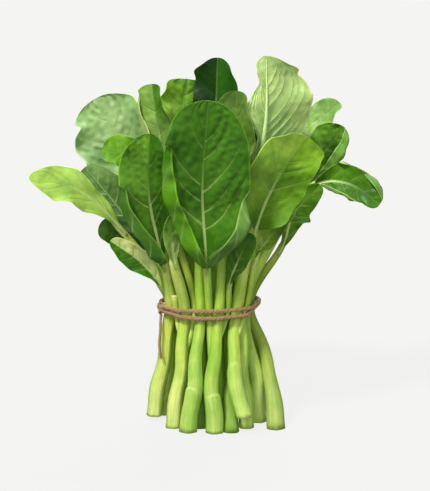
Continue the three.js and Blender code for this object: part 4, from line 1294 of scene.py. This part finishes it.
held_stalks = []
for stem_index, one in enumerate(STEMS):
    main = None
    parts = []
    for leaf_index, entry in enumerate(one["leaves"]):
        seed = SEEDS_PER_STEM * stem_index + leaf_index
        line = leaf_line(one, entry, main)
        main = main or line
        if not entry["fork"] or entry["tie"]:
            radius = entry["tie_r"] if entry["fork"] else one["tie_r"]
            low, high = (line.at_height(TIE_Z + off) for off in (-HELD_REACH, HELD_REACH))
            held_stalks.append((low, high, radius))
        style = LOOKS.get(entry["name"]) or look(INNER_TINTS[seed % len(INNER_TINTS)])
        parts.append(stalk_tube(one, entry, line, style, seed))
        if entry["top"]:
            continue
        points, faces, values = blade(entry, line, style, seed)
        make_piece(entry["name"] + "_blade", points, faces, entry["name"], LEAF, values)
    points, faces, _ = joined(*((points, faces, points) for points, faces, _ in parts))
    values = {key: np.concatenate([part[2][key] for part in parts]) for key in parts[0][2]}
    make_piece(one["name"] + "_stalk", points, faces, one["name"], STALK, values)

upper_turn = taut_round(held_stalks, UPPER_TURN_Z, -UPPER_TURN_RISE)
lower_turn = taut_round(held_stalks, LOWER_TURN_Z, LOWER_TURN_SAG)
knot = evenly(knot_path(), KNOT_POINT_GAP, True)
knot_end = Spline([KNOT_PLACE, *TAIL_ROUTE[:2]]).at(np.linspace(0, 0.5, 20))
points, faces, tubes = joined(
    twisted(upper_turn, TWINE_R, True, TURN_PITCH),
    twisted(lower_turn, TWINE_R, True, TURN_PITCH),
    twisted(knot, KNOT_R, True, KNOT_PITCH),
    twisted(knot_end, KNOT_END_R, False, TAIL_PITCH),
    fibres(upper_turn, *TURN_FIBRES, seed=1),
    fibres(lower_turn, *TURN_FIBRES, seed=2),
    fibres(knot, *KNOT_FIBRES, seed=3),
)
make_piece("twine_turns", points, faces, "twine_wrap", TWINE, {"tube": tubes})

tail_path = Spline(TAIL_ROUTE).at(np.linspace(0, 1, 90))
points, faces, tubes = twisted(tail_path, TAIL_R, False, TAIL_PITCH)
tail = make_piece("twine_loose_end", points, faces, "twine_tail", TWINE, {"tube": tubes})
points, faces, tubes = joined(
    fibres(tail_path, *TAIL_FIBRES, seed=4),
    fibres(tail_path[-FRAY_POINTS:], *FRAY_FIBRES, seed=5, spread=FRAY_SPREAD),
)
fray = make_piece("twine_loose_end_fray", points, faces, None, TWINE, {"tube": tubes})
tuple(tail_path[0] * MM)
(tail_path * MM).tolist()

# Floor and light

corners = [(x * FLOOR_HALF, y * FLOOR_HALF, 0) for x, y in ((-1, -1), (1, -1), (1, 1), (-1, 1))]
floor_mesh = bpy.data.meshes.new("floor")
floor_mesh.from_pydata(corners, [], [(0, 1, 2, 3)])
floor = put("floor", floor_mesh)
g = Graph(bpy.data.materials.new("floor"))
grain = g.noise(40.0, g.where())
floor_colour = g.mix(grain, FLOOR_DARK, FLOOR_PALE)
floor_material = g.finish(
    floor_colour, 1.0, grain, FLOOR_BUMP, Emission_Strength=FLOOR_GLOW, Specular_IOR_Level=0.0,
    Emission_Color=FLOOR_WHITE,
)
floor_mesh.materials.append(floor_material)
floor.visible_diffuse = False
floor.visible_glossy = False
floor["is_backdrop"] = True

# The studio: a sky that is bright overhead and dimmer all round, and soft lamps in front and behind
world = bpy.data.worlds.new("studio")
g = Graph(world)
_, _, up = g.split(g.where("Generated"))
background = g.tree.nodes["Background"].inputs
g.set(background["Color"], SKY_WHITE)
g.set(background["Strength"], g.fade(up, *SKY_RISE, SKY_LOW, SKY_HIGH))
bpy.context.scene.world = world
bpy.context.scene.view_settings.view_transform = "Standard"
for name, azimuth, height, spread, strength in LAMPS:
    data = bpy.data.lights.new(name, "SUN")
    data.energy = strength
    data.angle = math.radians(spread)
    lamp = put(name, data)
    lamp.rotation_euler = (math.radians(90 - height), 0, math.radians(azimuth))

low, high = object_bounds()
